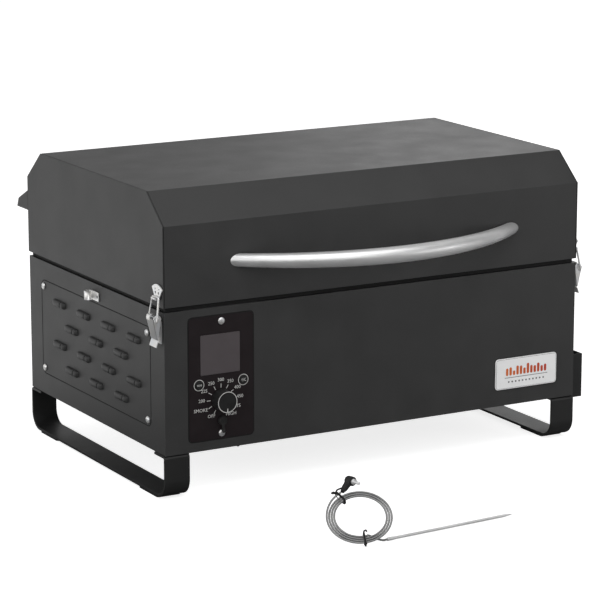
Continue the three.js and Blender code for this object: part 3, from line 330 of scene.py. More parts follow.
class Solid:
    """Closed shapes gathered into one mesh, in the shape code's millimetres."""

    def __init__(self):
        self.points = []
        self.faces = []
        self.uvs = []

    def add(self, points, faces):
        start = len(self.points)
        self.points += [Vector(p) for p in points]
        self.faces += [[start + i for i in face] for face in faces]
        return self

    def loft(self, rings, closed=False):
        """Skin over rings of equal length, with flat ends unless it closes on itself."""
        count = len(rings[0])
        points = [p for ring in rings for p in ring]
        faces = []
        for i in range(len(rings) if closed else len(rings) - 1):
            a, b = i * count, ((i + 1) % len(rings)) * count
            for k in range(count):
                n = (k + 1) % count
                faces.append((a + k, a + n, b + n, b + k))
        if not closed:
            faces.append(tuple(range(count)))
            faces.append(tuple(range((len(rings) - 1) * count, len(rings) * count)))
        return self.add(points, faces)

    def prism(self, axis, outline, low, high):
        """Outline in the two other axes, in their x, y, z order, carried from low to high."""
        spot = {"X": lambda u, v, a: (a, u, v), "Y": lambda u, v, a: (u, a, v),
                "Z": lambda u, v, a: (u, v, a)}[axis]
        return self.loft([[spot(u, v, a) for u, v in outline] for a in (low, high)])

    def block(self, x0, x1, y0, y1, z0, z1):
        return self.prism("Z", [(x0, y0), (x1, y0), (x1, y1), (x0, y1)], z0, z1)

    def lathe(self, centre, axis, profile, sides=40, closed=False):
        """Profile of (radius, distance along the axis), from end to end, or closed as a ring."""
        axis = Vector(axis).normalized()
        side = axis.orthogonal().normalized()
        over = axis.cross(side)
        rings = []
        for radius, along in profile:
            middle = Vector(centre) + axis * along
            radius = max(radius, 0.01)
            rings.append([middle + side * (radius * math.cos(2 * math.pi * k / sides))
                          + over * (radius * math.sin(2 * math.pi * k / sides))
                          for k in range(sides)])
        return self.loft(rings, closed)

    def sweep(self, path, radius, sides=16, closed=False, section=None, mapped=False):
        """Round tube, or any `section` of (side, over) points, along a path of points.
        A mapped tube has UVs: the share of the way round, and millimetres along."""
        path = [Vector(p) for p in path]
        count = len(path)
        up = None
        rings = []
        for i, point in enumerate(path):
            after = path[(i + 1) % count] if closed or i + 1 < count else point
            before = path[i - 1] if closed or i else point
            along = (after - before).normalized()
            up = along.orthogonal() if up is None else up - along * up.dot(along)
            up.normalize()
            side = along.cross(up)
            size = radius[i] if isinstance(radius, list) else radius
            shape = section or [(math.cos(2 * math.pi * k / sides), math.sin(2 * math.pi * k / sides))
                                for k in range(sides)]
            rings.append([point + side * (size * a) + up * (size * b) for a, b in shape])
        if mapped:
            run = 0.0
            for i in range(count - 1):
                step = (path[i + 1] - path[i]).length
                for k in range(sides):
                    a, b = k / sides, (k + 1) / sides
                    self.uvs += [(a, run), (b, run), (b, run + step), (a, run + step)]
                run += step
            self.uvs += [(0, 0)] * (2 * sides)
        return self.loft(rings, closed)


def arc(a, b, radius, start, stop, steps=6):
    """Points of a circular arc, with its angles in degrees."""
    turns = [math.radians(start + (stop - start) * i / steps) for i in range(steps + 1)]
    return [(a + radius * math.cos(t), b + radius * math.sin(t)) for t in turns]


def rounded(a, b, width, height, radius, steps=6):
    """Rounded rectangle around (a, b)."""
    u, v = width / 2 - radius, height / 2 - radius
    return (arc(a + u, b - v, radius, -90, 0, steps) + arc(a + u, b + v, radius, 0, 90, steps)
            + arc(a - u, b + v, radius, 90, 180, steps) + arc(a - u, b - v, radius, 180, 270, steps))


def fillet(points, radius, steps=4):
    """Rounds the inner corners of an open polyline."""
    line = [Vector(p) for p in points]
    made = [line[0]]
    for before, corner, after in zip(line, line[1:], line[2:]):
        a, b = (before - corner).normalized(), (after - corner).normalized()
        half = a.angle(b) / 2
        reach = min(radius / math.tan(half), (before - corner).length * 0.49,
                    (after - corner).length * 0.49)
        for i in range(steps + 1):
            t = i / steps
            made.append((corner + a * reach) * (1 - t) ** 2 + corner * (2 * t * (1 - t))
                        + (corner + b * reach) * t ** 2)
    return made + [line[-1]]


def bent(points, thickness, radius=1.5):
    """Outline of a sheet seen on edge, whose middle runs through `points` with round bends."""
    line = fillet([Vector((a, b, 0)) for a, b in points], radius)
    left, right = [], []
    for i, point in enumerate(line):
        along = (line[min(i + 1, len(line) - 1)] - line[max(i - 1, 0)]).normalized()
        over = Vector((-along.y, along.x, 0)) * (thickness / 2)
        left.append((point + over)[:2])
        right.append((point - over)[:2])
    return left + right[::-1]


def new_mesh(name, solid):
    mesh = bpy.data.meshes.new(name)
    mesh.from_pydata([place(p) for p in solid.points], [], solid.faces)
    if solid.uvs:
        layer = mesh.uv_layers.new(name="UVMap")
        layer.data.foreach_set("uv", [value for uv in solid.uvs for value in uv])
    work = bmesh.new()
    work.from_mesh(mesh)
    bmesh.ops.remove_doubles(work, verts=work.verts, dist=0.002 * MM)
    bmesh.ops.recalc_face_normals(work, faces=work.faces)
    work.to_mesh(mesh)
    work.free()
    return mesh


def carved(mesh, cutter):
    """The mesh with a Solid cut out of it."""
    whole = bpy.data.objects.new("whole", mesh)
    tool = bpy.data.objects.new("tool", new_mesh("tool", cutter))
    for obj in (whole, tool):
        bpy.context.scene.collection.objects.link(obj)
    cut = whole.modifiers.new("cut", "BOOLEAN")
    cut.operation, cut.solver, cut.object, cut.use_self = "DIFFERENCE", "EXACT", tool, True
    graph = bpy.context.evaluated_depsgraph_get()
    made = bpy.data.meshes.new_from_object(whole.evaluated_get(graph))
    for obj in (whole, tool):
        used = obj.data
        bpy.data.objects.remove(obj)
        bpy.data.meshes.remove(used)
    return made


REPLACED = set()


def piece(name, solid, body, slot, finish=None, cutter=None, bevel=0.0, stands_for=(), smooth=35):
    """Turns a Solid into a shown piece that rides on a body."""
    mesh = new_mesh(name, solid)
    if cutter:
        mesh = carved(mesh, cutter)
        mesh.name = name
    for polygon in mesh.polygons:
        polygon.use_smooth = True
    obj = bpy.data.objects.new(name, mesh)
    bpy.context.scene.collection.objects.link(obj)
    if bevel:
        round_edges(obj, bevel)
    else:
        mesh.set_sharp_from_angle(angle=math.radians(smooth))
    dress(obj, slot, finish)
    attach(obj, body)
    if stands_for:
        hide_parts(*stands_for)
        REPLACED.update(stands_for)


def round_edges(obj, width):
    bevel = obj.modifiers.new("bevel", "BEVEL")
    bevel.width = width * MM
    bevel.segments = 2
    bevel.limit_method = "ANGLE"
    bevel.angle_limit = math.radians(30)
    obj.modifiers.new("normals", "WEIGHTED_NORMAL").weight = 100


# ---------------------------------------------------------------- measures of the grill

SIDE = 279.0                                   # body's side wall
FRONT = -183.0                                 # front of the lid and the body
PANEL_FACE = span("control_panel")[0].y        # face of the control panel
DIAL_Z = 112.2                                 # height of the dial's middle
SIDE_PANEL = {"y": 0.4, "z": 138.4, "width": 295.0, "height": 116.0, "corner": 8.0}


def middle(node):
    low, high = span(node)
    return (low + high) / 2


# ---------------------------------------------------------------- handle


def handle():
    """Bowed tube, thicker in its middle, cut off flat against the lid."""
    half, bow, height = 183.0, 62.0, middle("lid_handle").z
    radius = (half ** 2 + bow ** 2) / (2 * bow)
    turn = math.asin(half / radius) + 0.06
    path, sizes = [], []
    for i in range(97):
        share = i / 48 - 1
        angle = share * turn
        path.append((radius * math.sin(angle), FRONT - bow + radius * (1 - math.cos(angle)), height))
        sizes.append(9.6 - 2.4 * share ** 2)
    lid_face = Solid().block(-300, 300, FRONT - 0.3, 0, height - 30, height + 30)
    piece("handle_tube", Solid().sweep(path, sizes, 48), "lid", "stainless", "polished",
          cutter=lid_face, stands_for=("lid_handle",))


# ---------------------------------------------------------------- louvered panel and its screws


def louver_centres():
    centres = []
    for row in range(4):
        count = 3 if row % 2 else 4
        centres += [(SIDE_PANEL["y"] + (i - (count - 1) / 2) * 67.4 - 5, 175.5 - row * 25.6)
                    for i in range(count)]
    return centres


def hood(solid, y, z):
    """Pressed louver: a shell that swells out of the panel towards the front, is creased across,
    and drops back steeply. It curls in towards its open lower side."""
    steps = [math.radians(15 * i) for i in range(7)]
    outer = [(4.7 * math.sin(t) ** 0.6, 4.5 * max(math.cos(t), 0) ** 0.6 - 0.3) for t in steps]
    outer += [(1.9 + 2.8 * math.cos(t), -0.3 - 3.7 * math.sin(t)) for t in steps[1:]]
    inner = [(1.2 + 2.4 * math.cos(t), -0.3 - 3.4 * math.sin(t)) for t in reversed(steps[1:])]
    inner += [(3.7 * math.sin(t) ** 0.6, 3.7 * max(math.cos(t), 0) ** 0.6 - 0.3)
              for t in reversed(steps)]
    stations = [(17.5, 0.02, 0.3), (17.2, 0.22, 0.6), (16.2, 0.48, 0.82), (14.5, 0.72, 0.94),
                (12, 0.88, 1), (8, 0.97, 1), (0, 1, 1), (-6.2, 1, 1), (-7.0, 0.92, 1),
                (-7.6, 0.5, 1), (-8.2, 0.5, 1), (-8.8, 0.9, 1), (-9.6, 1.04, 1), (-12.8, 1.04, 1),
                (-14.4, 0.96, 0.97), (-15.8, 0.74, 0.9), (-16.8, 0.42, 0.78), (-17.5, 0.03, 0.6)]
    rings = []
    for along, bulge, tall in stations:
        ring = [(-SIDE + 0.25 - out * bulge, y + along, z + up * tall) for out, up in outer]
        ring += [(-SIDE + 0.25 - out * bulge, y + along, z + up * tall) for out, up in inner]
        ring.append((-SIDE + 0.7, y + along, z + 3.4 * tall))
        ring.append((-SIDE + 0.7, y + along, z + 4.2 * tall))
        rings.append(ring)
    solid.loft(rings)


def side_panel_outline(margin):
    """Outline of the side panel, pushed outwards by `margin`."""
    return rounded(SIDE_PANEL["y"], SIDE_PANEL["z"], SIDE_PANEL["width"] + 2 * margin,
                   SIDE_PANEL["height"] + 2 * margin, SIDE_PANEL["corner"] + margin, 8)


def louvered_panel():
    slots, hoods = Solid(), Solid()
    for y, z in louver_centres():
        slots.block(-SIDE - 2, -SIDE + 3, y - 14.5, y + 13, z - 3.6, z + 2.8)
        hood(hoods, y, z)
    plate = Solid().prism("X", side_panel_outline(0), -SIDE, -SIDE + 1.2)
    piece("side_panel_plate", plate, "fire_box", "shell", cutter=slots, bevel=0.35,
          stands_for=("louvered_side_panel",))
    piece("side_panel_louvers", hoods, "fire_box", "shell", smooth=24)


def dome_screw(node, out):
    """Pan-head screw with a cross recess; `out` is the way its head points."""
    low, high = span(node)
    centre = (low + high) / 2
    out = Vector(out)
    seat = centre + out * ((high - low).dot(Vector(map(abs, out))) / 2 - 2.4)
    profile = [(0, -6), (2, -6), (2, 0), (4.0, 0), (4.2, 0.25), (4.2, 0.7), (3.9, 1.2), (3.2, 1.75),
               (2.2, 2.15), (1.1, 2.35), (0, 2.4)]
    tip = seat + out * 2.4
    across = Vector((0, 0, 1)).cross(out)
    recess = Solid()
    for long, short in ((across, Vector((0, 0, 1))), (Vector((0, 0, 1)), across)):
        corners = []
        for depth in (-1.3, 0.6):
            corners.append([tip + long * (2.3 * a) + short * (0.45 * b) + out * depth
                            for a, b in ((-1, -1), (1, -1), (1, 1), (-1, 1))])
        recess.loft(corners)
    piece(node + "_head", Solid().lathe(seat, out, profile), "fire_box", "zinc", cutter=recess,
          stands_for=(node,))


def screws():
    for i in range(1, 5):
        dome_screw(f"side_panel_screw_{i}", (-1, 0, 0))
    for i in (1, 2):
        dome_screw(f"control_screw_{i}", (0, -1, 0))


# ---------------------------------------------------------------- draw latches

LATCH_Y = middle("latch_bail_left").y
LEVER_PIN = (6.6, 213.0)                       # (out from the side wall, height)
BAIL_PIN = (LEVER_PIN[0] + 3.6 * math.cos(math.radians(-60)),
            LEVER_PIN[1] + 3.6 * math.sin(math.radians(-60)))
BAIL_BAR = (4.2, 237.3)


def latch(word, way):
    """`way` is -1 on the left and 1 on the right; `out` grows away from the wall."""

    def wall(out):
        return way * (SIDE + out)

    def turned(points):
        return [(wall(out), z) for out, z in points]

    def bore(radius, out, z):
        return [(wall(out), LATCH_Y - 12, z), (0, 1, 0), [(radius, 0), (radius, 24)], 24]

    fan = [(LATCH_Y - 5, 235), (LATCH_Y + 5, 235)]
    for i in range(13):
        t = i / 12
        fan.append((LATCH_Y + 12.6 * (1 - 2 * t), 247 + 19 * t * (1 - t)))
    holes = Solid()
    for y in (-3.8, 3.8):
        holes.lathe((wall(0.5), LATCH_Y + y, 241.9), (way, 0, 0), [(1.5, 0), (1.5, 4)], 24)
    keeper = Solid().prism("X", fan, *sorted((wall(1.3), wall(2.8))))
    piece(f"keeper_fan_{word}", keeper, "lid", "zinc", cutter=holes, bevel=0.3,
          stands_for=(f"latch_keeper_{word}",))
    rivets = Solid()
    for y in (-4.2, 4.2):
        rivets.lathe((wall(2.7), LATCH_Y + y, 247.0), (way, 0, 0),
                     [(0, 0), (1.7, 0), (1.6, 0.4), (1.0, 0.7), (0, 0.8)], 24)
    rivets.prism("Y", turned(bent([(1.6, 234.8), (7.25, 234.8), (7.25, 236.9)], 1.3, 1.2)),
                 LATCH_Y - 4.8, LATCH_Y + 4.8)
    piece(f"keeper_hook_{word}", rivets, "lid", "zinc")

    loop = fillet([(wall(BAIL_PIN[0]), LATCH_Y - 7.2, BAIL_PIN[1]),
                   (wall(BAIL_PIN[0]), LATCH_Y - 10.8, BAIL_PIN[1]),
                   (wall(BAIL_BAR[0]), LATCH_Y - 7.4, BAIL_BAR[1]),
                   (wall(BAIL_BAR[0]), LATCH_Y + 7.4, BAIL_BAR[1]),
                   (wall(BAIL_PIN[0]), LATCH_Y + 10.8, BAIL_PIN[1]),
                   (wall(BAIL_PIN[0]), LATCH_Y + 7.2, BAIL_PIN[1])], 2.0, 6)
    piece(f"bail_loop_{word}", Solid().sweep(loop, 1.15, 20), f"{word}_bail", "zinc",
          stands_for=(f"latch_bail_{word}",), smooth=60)

    rim = arc(LEVER_PIN[0], LEVER_PIN[1], 4.8, 0, 200, 20)
    cheeks = Solid()
    for near in (-8.5, 7.3):
        cheeks.prism("Y", turned(rim + [(5.4, 190), (6.8, 190)]), LATCH_Y + near, LATCH_Y + near + 1.2)
    piece(f"lever_cheeks_{word}", cheeks, f"{word}_lever", "zinc", bevel=0.2,
          cutter=Solid().lathe(*bore(1.7, *LEVER_PIN)).lathe(*bore(1.4, *BAIL_PIN)),
          stands_for=(f"latch_lever_{word}",))
    channel = [(LEVER_PIN[0] + 5.2, 213.4), (6.25, 189.3)]
    tab = [(6.25, 189.3), (5.9, 187.8), (8.3, 180.7)]
    crown = [(8.6, 217.2), (11.0, 216.9), (LEVER_PIN[0] + 5.2, 213.4), (LEVER_PIN[0] + 4.7, 211)]
    # The channel gets the darker zinc copy: painted shade, not a different metal.
    for label, points, near, far, finish in (("channel", channel, (-8.2, 8.2), (-7.4, 7.4), "shaded_zinc"),
                                             ("tab", tab, (-7.4, 7.4), (-8.5, 8.5), None),
                                             ("crown", crown, (0.6, 8.5), (0.6, 8.5), None)):
        path = fillet([Vector(p + (0,)) for p in points], 1.6, 6)
        rings = []
        for i, point in enumerate(path):
            along = (path[min(i + 1, len(path) - 1)] - path[max(i - 1, 0)]).normalized()
            over = Vector((-along.y, along.x, 0)) * 0.6
            share = i / (len(path) - 1)
            low, high = (a + (b - a) * share for a, b in zip(near, far))
            rings.append([(wall(spot.x), LATCH_Y + y, spot.y) for spot, y in
                          ((point + over, low), (point + over, high),
                           (point - over, high), (point - over, low))])
        piece(f"lever_{label}_{word}", Solid().loft(rings), f"{word}_lever", "zinc", finish,
              bevel=0.25, smooth=40)

    pin = Solid()
    for side in (-1, 1):
        pin.lathe((wall(LEVER_PIN[0]), LATCH_Y + side * 8.5, LEVER_PIN[1]), (0, side, 0),
                  [(0, -2), (1.45, -2), (1.45, 0.1), (2.1, 0.1), (2.0, 0.3), (1.5, 0.45), (0, 0.5)], 24)
    piece(f"lever_pin_{word}", pin, "fire_box", "zinc")


# ---------------------------------------------------------------- cable clip and badge


def cable_clip():
    low, high = span("cable_clip")
    wall = high.x
    strip = [(wall - 0.6, low.y)] + arc(wall - 5.2, 3, 4.6, 0, 292, 26)
    outline = bent(strip, 1.2, 0.4)
    hole = Solid().lathe((wall - 3, -12.0, 205.6), (1, 0, 0), [(1.9, 0), (1.9, 6)], 24)
    piece("clip_strip", Solid().prism("Z", outline, low.z, high.z), "fire_box", "zinc",
          cutter=hole, bevel=0.25, smooth=50, stands_for=("cable_clip",))


def badge():
    """Pale plate with a border line and a plain motif of upright bars over a rule and dots."""
    low, high = span("front_badge")
    x, z = (low.x + high.x) / 2, (low.z + high.z) / 2
    width, height = high.x - low.x, high.z - low.z
    face = low.y
    piece("badge_plate", Solid().prism("Y", rounded(x, z, width, height, 4, 10), face, high.y),
          "fire_box", "badge", bevel=0.35, stands_for=("front_badge",))
    border = [(u, face - 0.02, v) for u, v in rounded(x, z, width - 2.2, height - 2.2, 3.2, 8)]
    lines = Solid().sweep(border, 1.0, closed=True,
                          section=[(-0.2, -0.06), (0.2, -0.06), (0.2, 0.06), (-0.2, 0.06)])
    lines.prism("Y", rounded(x, z - 5.2, width - 26, 0.7, 0.3, 3), face - 0.08, face + 0.2)
    for i in range(11):
        lines.lathe((x - 25 + 5 * i, face + 0.2, z - 10.4), (0, -1, 0), [(1.15, 0), (1.15, 0.28)], 20)
    piece("badge_lines", lines, "fire_box", "badge", "grey_ink")
    bars = Solid()
    for i in range(12):
        tall = 5.5 + 7.5 * abs(math.sin(0.9 + i * 1.13)) * (1 - abs(i - 5.5) / 14)
        bars.prism("Y", rounded(x - 27.5 + 5 * i, z - 2.6 + tall / 2, 3.4, tall, 1.5, 5),
                   face - 0.08, face + 0.2)
    piece("badge_bars", bars, "fire_box", "badge", "warm_ink")


# ---------------------------------------------------------------- control panel fittings

DIAL = middle("temperature_knob")
KNOB_LENGTH = 15.5


def knob():
    face = PANEL_FACE - 0.6
    base = (DIAL.x, face, DIAL_Z)
    tall = KNOB_LENGTH
    skirt = [(0, 0), (12.3, 0), (12.5, 0.3), (12.5, tall - 0.6), (12.3, tall - 0.2), (12.0, tall),
             (11.4, tall), (11.3, tall - 0.3), (0, tall - 0.3)]
    piece("knob_body", Solid().lathe(base, (0, -1, 0), skirt, 72), "knob", "plastic",
          stands_for=("temperature_knob",), smooth=28)
    marks = Solid().lathe(base, (0, -1, 0), [(11.5, tall - 0.2), (12.2, tall - 0.2),
                                             (12.2, tall + 0.08), (11.5, tall + 0.08)], 64, True)
    marks.block(DIAL.x - 0.5, DIAL.x + 0.5, face - tall - 0.08, face - tall + 0.6, DIAL_Z - 11.6,
                DIAL_Z - 7.4)
    piece("knob_marks", marks, "knob", "plastic", "white_ink")


def letters(solid, text, x, z, size, face=PANEL_FACE):
    """Adds raised lettering centred on (x, z) of a face that looks to the front."""
    curve = bpy.data.curves.new("letters", "FONT")
    curve.body, curve.align_x, curve.align_y = text, "CENTER", "CENTER"
    curve.extrude, curve.resolution_u = 0.02, 2
    obj = bpy.data.objects.new("letters", curve)
    bpy.context.scene.collection.objects.link(obj)
    graph = bpy.context.evaluated_depsgraph_get()
    mesh = bpy.data.meshes.new_from_object(obj.evaluated_get(graph))
    solid.add([(x + v.co.x * size, face - 0.03 - v.co.z * 1.5, z + v.co.y * size)
               for v in mesh.vertices], [tuple(p.vertices) for p in mesh.polygons])
    bpy.data.objects.remove(obj)
    bpy.data.curves.remove(curve)
    bpy.data.meshes.remove(mesh)


def dial_legend():
    """Ticks and generic words and numbers around the dial, and a ring around each key."""
    words = ("OFF", "SMOKE", "200", "225", "250", "300", "350", "400", "450", "475", "HIGH")
    marks = Solid()
    for i, word in enumerate(words):
        turn = math.radians(-150 + 30 * i)
        out = Vector((math.sin(turn), math.cos(turn)))
        across = Vector((out.y, -out.x)) * 0.4
        centre = Vector((DIAL.x, DIAL_Z))
        corners = [centre + out * 13.6 + across, centre + out * 13.6 - across,
                   centre + out * 18.4 - across, centre + out * 18.4 + across]
        marks.prism("Y", [tuple(c) for c in corners], PANEL_FACE - 0.07, PANEL_FACE + 0.2)
        stretch = 24.6 + max(len(word) - 3, 0) * 3.0 * abs(out.x)
        letters(marks, word, DIAL.x - 0.2 + out.x * stretch, DIAL_Z + 0.7 + out.y * 22.2, 5.6)
    for key in ("probe_button", "units_button"):
        spot = middle(key)
        ring = (spot.x, PANEL_FACE + 0.2, spot.z)
        marks.lathe(ring, (0, -1, 0), [(5.9, 0), (6.6, 0), (6.6, 0.27), (5.9, 0.27)], 48, True)
    piece("panel_legend", marks, "fire_box", "gloss_panel", "white_ink")


def panel_gaps():
    """Dark rings let into the walls: painted shadow, drawn where the real panels have an open gap."""
    low, high = span("control_panel")
    width, height = high.x - low.x, high.z - low.z
    outline = rounded((low.x + high.x) / 2, (low.z + high.z) / 2, width + 1.2, height + 1.2, 5, 6)
    front = Solid().sweep([(x, FRONT + 0.55, z) for x, z in outline], 0.95, 10, closed=True)
    piece("control_panel_gap_shadow", front, "fire_box", "rubber", "gasket_and_gap_shade")
    outline = side_panel_outline(0.3)
    side = Solid().sweep([(-SIDE + 0.45, y, z) for y, z in outline], 0.75, 10, closed=True)
    piece("side_panel_gap_shadow", side, "fire_box", "rubber", "gasket_and_gap_shade")


def keys():
    for node, body, word, size in (("probe_button", "probe_key", "PROBE", 3.0),
                                   ("units_button", "units_key", "F/C", 5.2)):
        low, high = span(node)
        spot = middle(node)
        seat = (spot.x, high.y, spot.z)
        tall = high.y - low.y
        profile = [(0, 0), (5.0, 0), (5.2, 0.2), (5.2, tall - 0.7), (5.0, tall - 0.25), (4.5, tall),
                   (3.4, tall - 0.1), (1.8, tall - 0.32), (0, tall - 0.4)]
        piece(node + "_cap", Solid().lathe(seat, (0, -1, 0), profile, 48), body, "plastic",
              stands_for=(node,))
        marks = Solid()
        letters(marks, word, spot.x, spot.z, size, low.y + 0.2)
        piece(node + "_word", marks, body, "plastic", "white_ink")


def probe_jack():
    spot = middle("probe_socket")
    collar = [(3.3, 0.4), (5.3, 0.4), (5.5, 0.6), (5.5, 1.6), (5.2, 2.0), (4.2, 2.0), (3.9, 1.8),
              (2.2, 1.8), (2.2, -8), (3.2, -8)]
    seat = (spot.x, PANEL_FACE, spot.z)
    piece("jack_collar", Solid().lathe(seat, (0, -1, 0), collar, 48, True), "fire_box", "black_metal",
          stands_for=("probe_socket",))
    low, high = span("socket_cap")
    cap = Solid().lathe(seat, (0, -1, 0), [
        (0, -3.8), (1.5, -3.8), (1.5, 2.35), (4.9, 2.35), (5.2, 2.6), (5.2, 3.1), (4.9, 3.5),
        (3, 3.62), (0, 3.66)], 48)
    x = (low.x + high.x) / 2
    front = PANEL_FACE - 2.4
    cap.prism("Y", rounded(x, (77.0 + spot.z - 3) / 2, 3.4, spot.z - 3 - 77.0, 0.8, 4),
              front - 1.1, front)
    cap.prism("Y", rounded(x, 76.0, 3.8, 5.0, 1.2, 4), front - 2.1, front - 0.8)
    piece("jack_cap", cap, "fire_box", "rubber", stands_for=("socket_cap",))


# ---------------------------------------------------------------- legs and pads


def leg(side):
    low, high = span(f"leg_{side}")
    reach, top, bottom = high.y, high.z, low.z
    bend, tight, thick, flange = 21, 4, 3, 27
    floor_z, roof_z = bottom + bend, top - tight
    outline = [(-reach + flange, top)] + arc(-reach + tight, roof_z, tight, 90, 180, 8)
    outline += arc(-reach + bend, floor_z, bend, 180, 270, 16)
    outline += arc(reach - bend, floor_z, bend, 270, 360, 16)
    outline += arc(reach - tight, roof_z, tight, 0, 90, 8) + [(reach - flange, top)]
    outline += [(reach - flange, top - thick)] + arc(reach - tight, roof_z, tight - thick, 90, 0, 6)
    outline += arc(reach - bend, floor_z, bend - thick, 0, -90, 16)
    outline += arc(-reach + bend, floor_z, bend - thick, 270, 180, 16)
    outline += arc(-reach + tight, roof_z, tight - thick, 180, 90, 6)
    outline.append((-reach + flange, top - thick))
    piece(f"leg_bar_{side}", Solid().prism("X", outline, low.x, high.x), "fire_box", "black_metal",
          bevel=0.45, stands_for=(f"leg_{side}",))


def foot_pads():
    for where in ("front_left", "front_right", "rear_left", "rear_right"):
        low, high = span(f"foot_pad_{where}")
        x, y = (low.x + high.x) / 2, (low.y + high.y) / 2
        pad = Solid().prism("Z", rounded(x, y, high.x - low.x, high.y - low.y, 3, 6), low.z, high.z)
        piece(f"pad_{where}", pad, "fire_box", "rubber", bevel=0.4, stands_for=(f"foot_pad_{where}",))


# ---------------------------------------------------------------- grate and small hardware


def grate():
    low, high = span("cooking_grate")
    rods = Solid()
    radius = 2.5
    for i in range(15):
        x = low.x + radius + i * (high.x - low.x - 2 * radius) / 14
        length = high.y - low.y
        rods.lathe((x, low.y, high.z - radius), (0, 1, 0),
                   [(0, 0), (1.6, 0.2), (2.3, 0.9), (2.5, 1.8), (2.5, length - 1.8),
                    (2.3, length - 0.9), (1.6, length - 0.2), (0, length)], 20)
    for y in (low.y + 2.6, 0, high.y - 2.6):
        rods.lathe((low.x, y, low.z + 2.35), (1, 0, 0),
                   [(0, 0), (2.0, 0.3), (2.35, 1.2), (2.35, high.x - low.x - 1.2),
                    (2.0, high.x - low.x - 0.3), (0, high.x - low.x)], 20)
    piece("grate_rods", rods, "grate", "enamel", stands_for=("cooking_grate",))


def dome(solid, spot, out, radius, height):
    solid.lathe(spot, out, [(0, -0.3), (radius, -0.3), (radius, 0.15), (radius * 0.9, height * 0.5),
                            (radius * 0.55, height * 0.9), (0, height)], 24)


def small_hardware():
    lid_leaf, body_leaf = span("hinge_lid_leaf"), span("hinge_body_leaf")
    upper, lower = Solid(), Solid()
    for i in range(6):
        x = -195 + 78 * i
        dome(upper, (x, FRONT * -1 + 1.8, lid_leaf[1].z - 5.0), (0, 1, 0), 3.2, 1.5)
        dome(lower, (x, FRONT * -1 + 1.8, body_leaf[0].z + 5.0), (0, 1, 0), 3.2, 1.5)
    piece("hinge_rivets_upper", upper, "lid", "black_metal")
    piece("hinge_rivets_lower", lower, "fire_box", "black_metal")
    inlet = middle("power_inlet")
    low, high = span("power_inlet")
    pins = Solid()
    for x, z in ((-6, -1.5), (6, -1.5), (0, 2.5)):
        pins.block(inlet.x + x - 0.8, inlet.x + x + 0.8, high.y - 18.6, high.y - 4,
                   inlet.z + z - 2, inlet.z + z + 2)
    piece("inlet_pins", pins, "fire_box", "zinc", bevel=0.2)
    bolts = Solid()
    for side in ("left", "right"):
        low, high = span(f"leg_{side}")
        x = (low.x + high.x) / 2
        for way in (-1, 1):
            dome(bolts, (x, way * (high.y - 18), high.z - 3), (0, 0, -1), 4.5, 2.6)
    dome(bolts, (-184, FRONT + 4, span("body_shell")[0].z + 4.2), (0, 0, -1), 2.2, 2.0)
    piece("leg_bolts", bolts, "fire_box", "black_metal")


# ---------------------------------------------------------------- meat probe

COIL_FRONT = Vector((-172.2, -434.8, 4.65))
COIL_OUTER, COIL_INNER, CABLE = 36.5, 27.0, 1.16
COIL_START, COIL_END = -70, -1316
COIL_PLANE = (Matrix.Translation(COIL_FRONT) @ Matrix.Rotation(math.radians(-29.5), 4, "Z")
              @ Matrix.Rotation(math.radians(35), 4, "X"))


def coil_point(degrees, radius, lift=0.0):
    angle = math.radians(degrees)
    return COIL_PLANE @ Vector((radius * math.cos(angle), COIL_OUTER + radius * math.sin(angle), lift))


def needle_line(x):
    return Vector((x, -427.5 + (x + 92.2) * 0.0656, 2.6))


def smooth_path(points, steps):
    """Curve through every point."""
    made = []
    for i in range(len(points) - 1):
        a, b = points[max(i - 1, 0)], points[i]
        c, d = points[i + 1], points[min(i + 2, len(points) - 1)]
        for k in range(steps):
            t = k / steps
            made.append(0.5 * ((2 * b) + (c - a) * t + (2 * a - 5 * b + 4 * c - d) * t ** 2
                               + (3 * b - a - 3 * c + d) * t ** 3))
    return made + [points[-1]]


def probe_cable():
    points = [needle_line(-136.5), needle_line(-141), Vector((-149, -431.6, 5.4))]
    turns = 260
    for i in range(turns + 1):
        share = i / turns
        degrees = COIL_START + (COIL_END - COIL_START) * share
        near_end = min(max((degrees - COIL_END) / 80, 0), 1)
        lift = 4 - 4 * near_end * near_end * (3 - 2 * near_end)
        points.append(coil_point(degrees, COIL_INNER + (COIL_OUTER - COIL_INNER) * share, lift))
    path = smooth_path(points[:5], 12)[:-1] + points[4:]
    piece("cable_braid", Solid().sweep(path, CABLE, 16, mapped=True), "meat_probe", "braid",
          stands_for=("probe_cable",), smooth=60)


def probe_needle():
    stations = [(-136, 1.4), (-135.6, 1.8), (-135, 1.9), (-128.4, 1.9), (-127.8, 1.8), (-127.4, 1.62),
                (-60, 1.6), (0, 1.6), (21, 1.6), (24, 1.5), (29, 1.05), (34, 0.42), (36, 0.2)]
    piece("needle_steel", Solid().sweep([needle_line(x) for x, _ in stations],
                                        [r for _, r in stations], 32),
          "meat_probe", "stainless", "needle", stands_for=("probe_needle",), smooth=30)


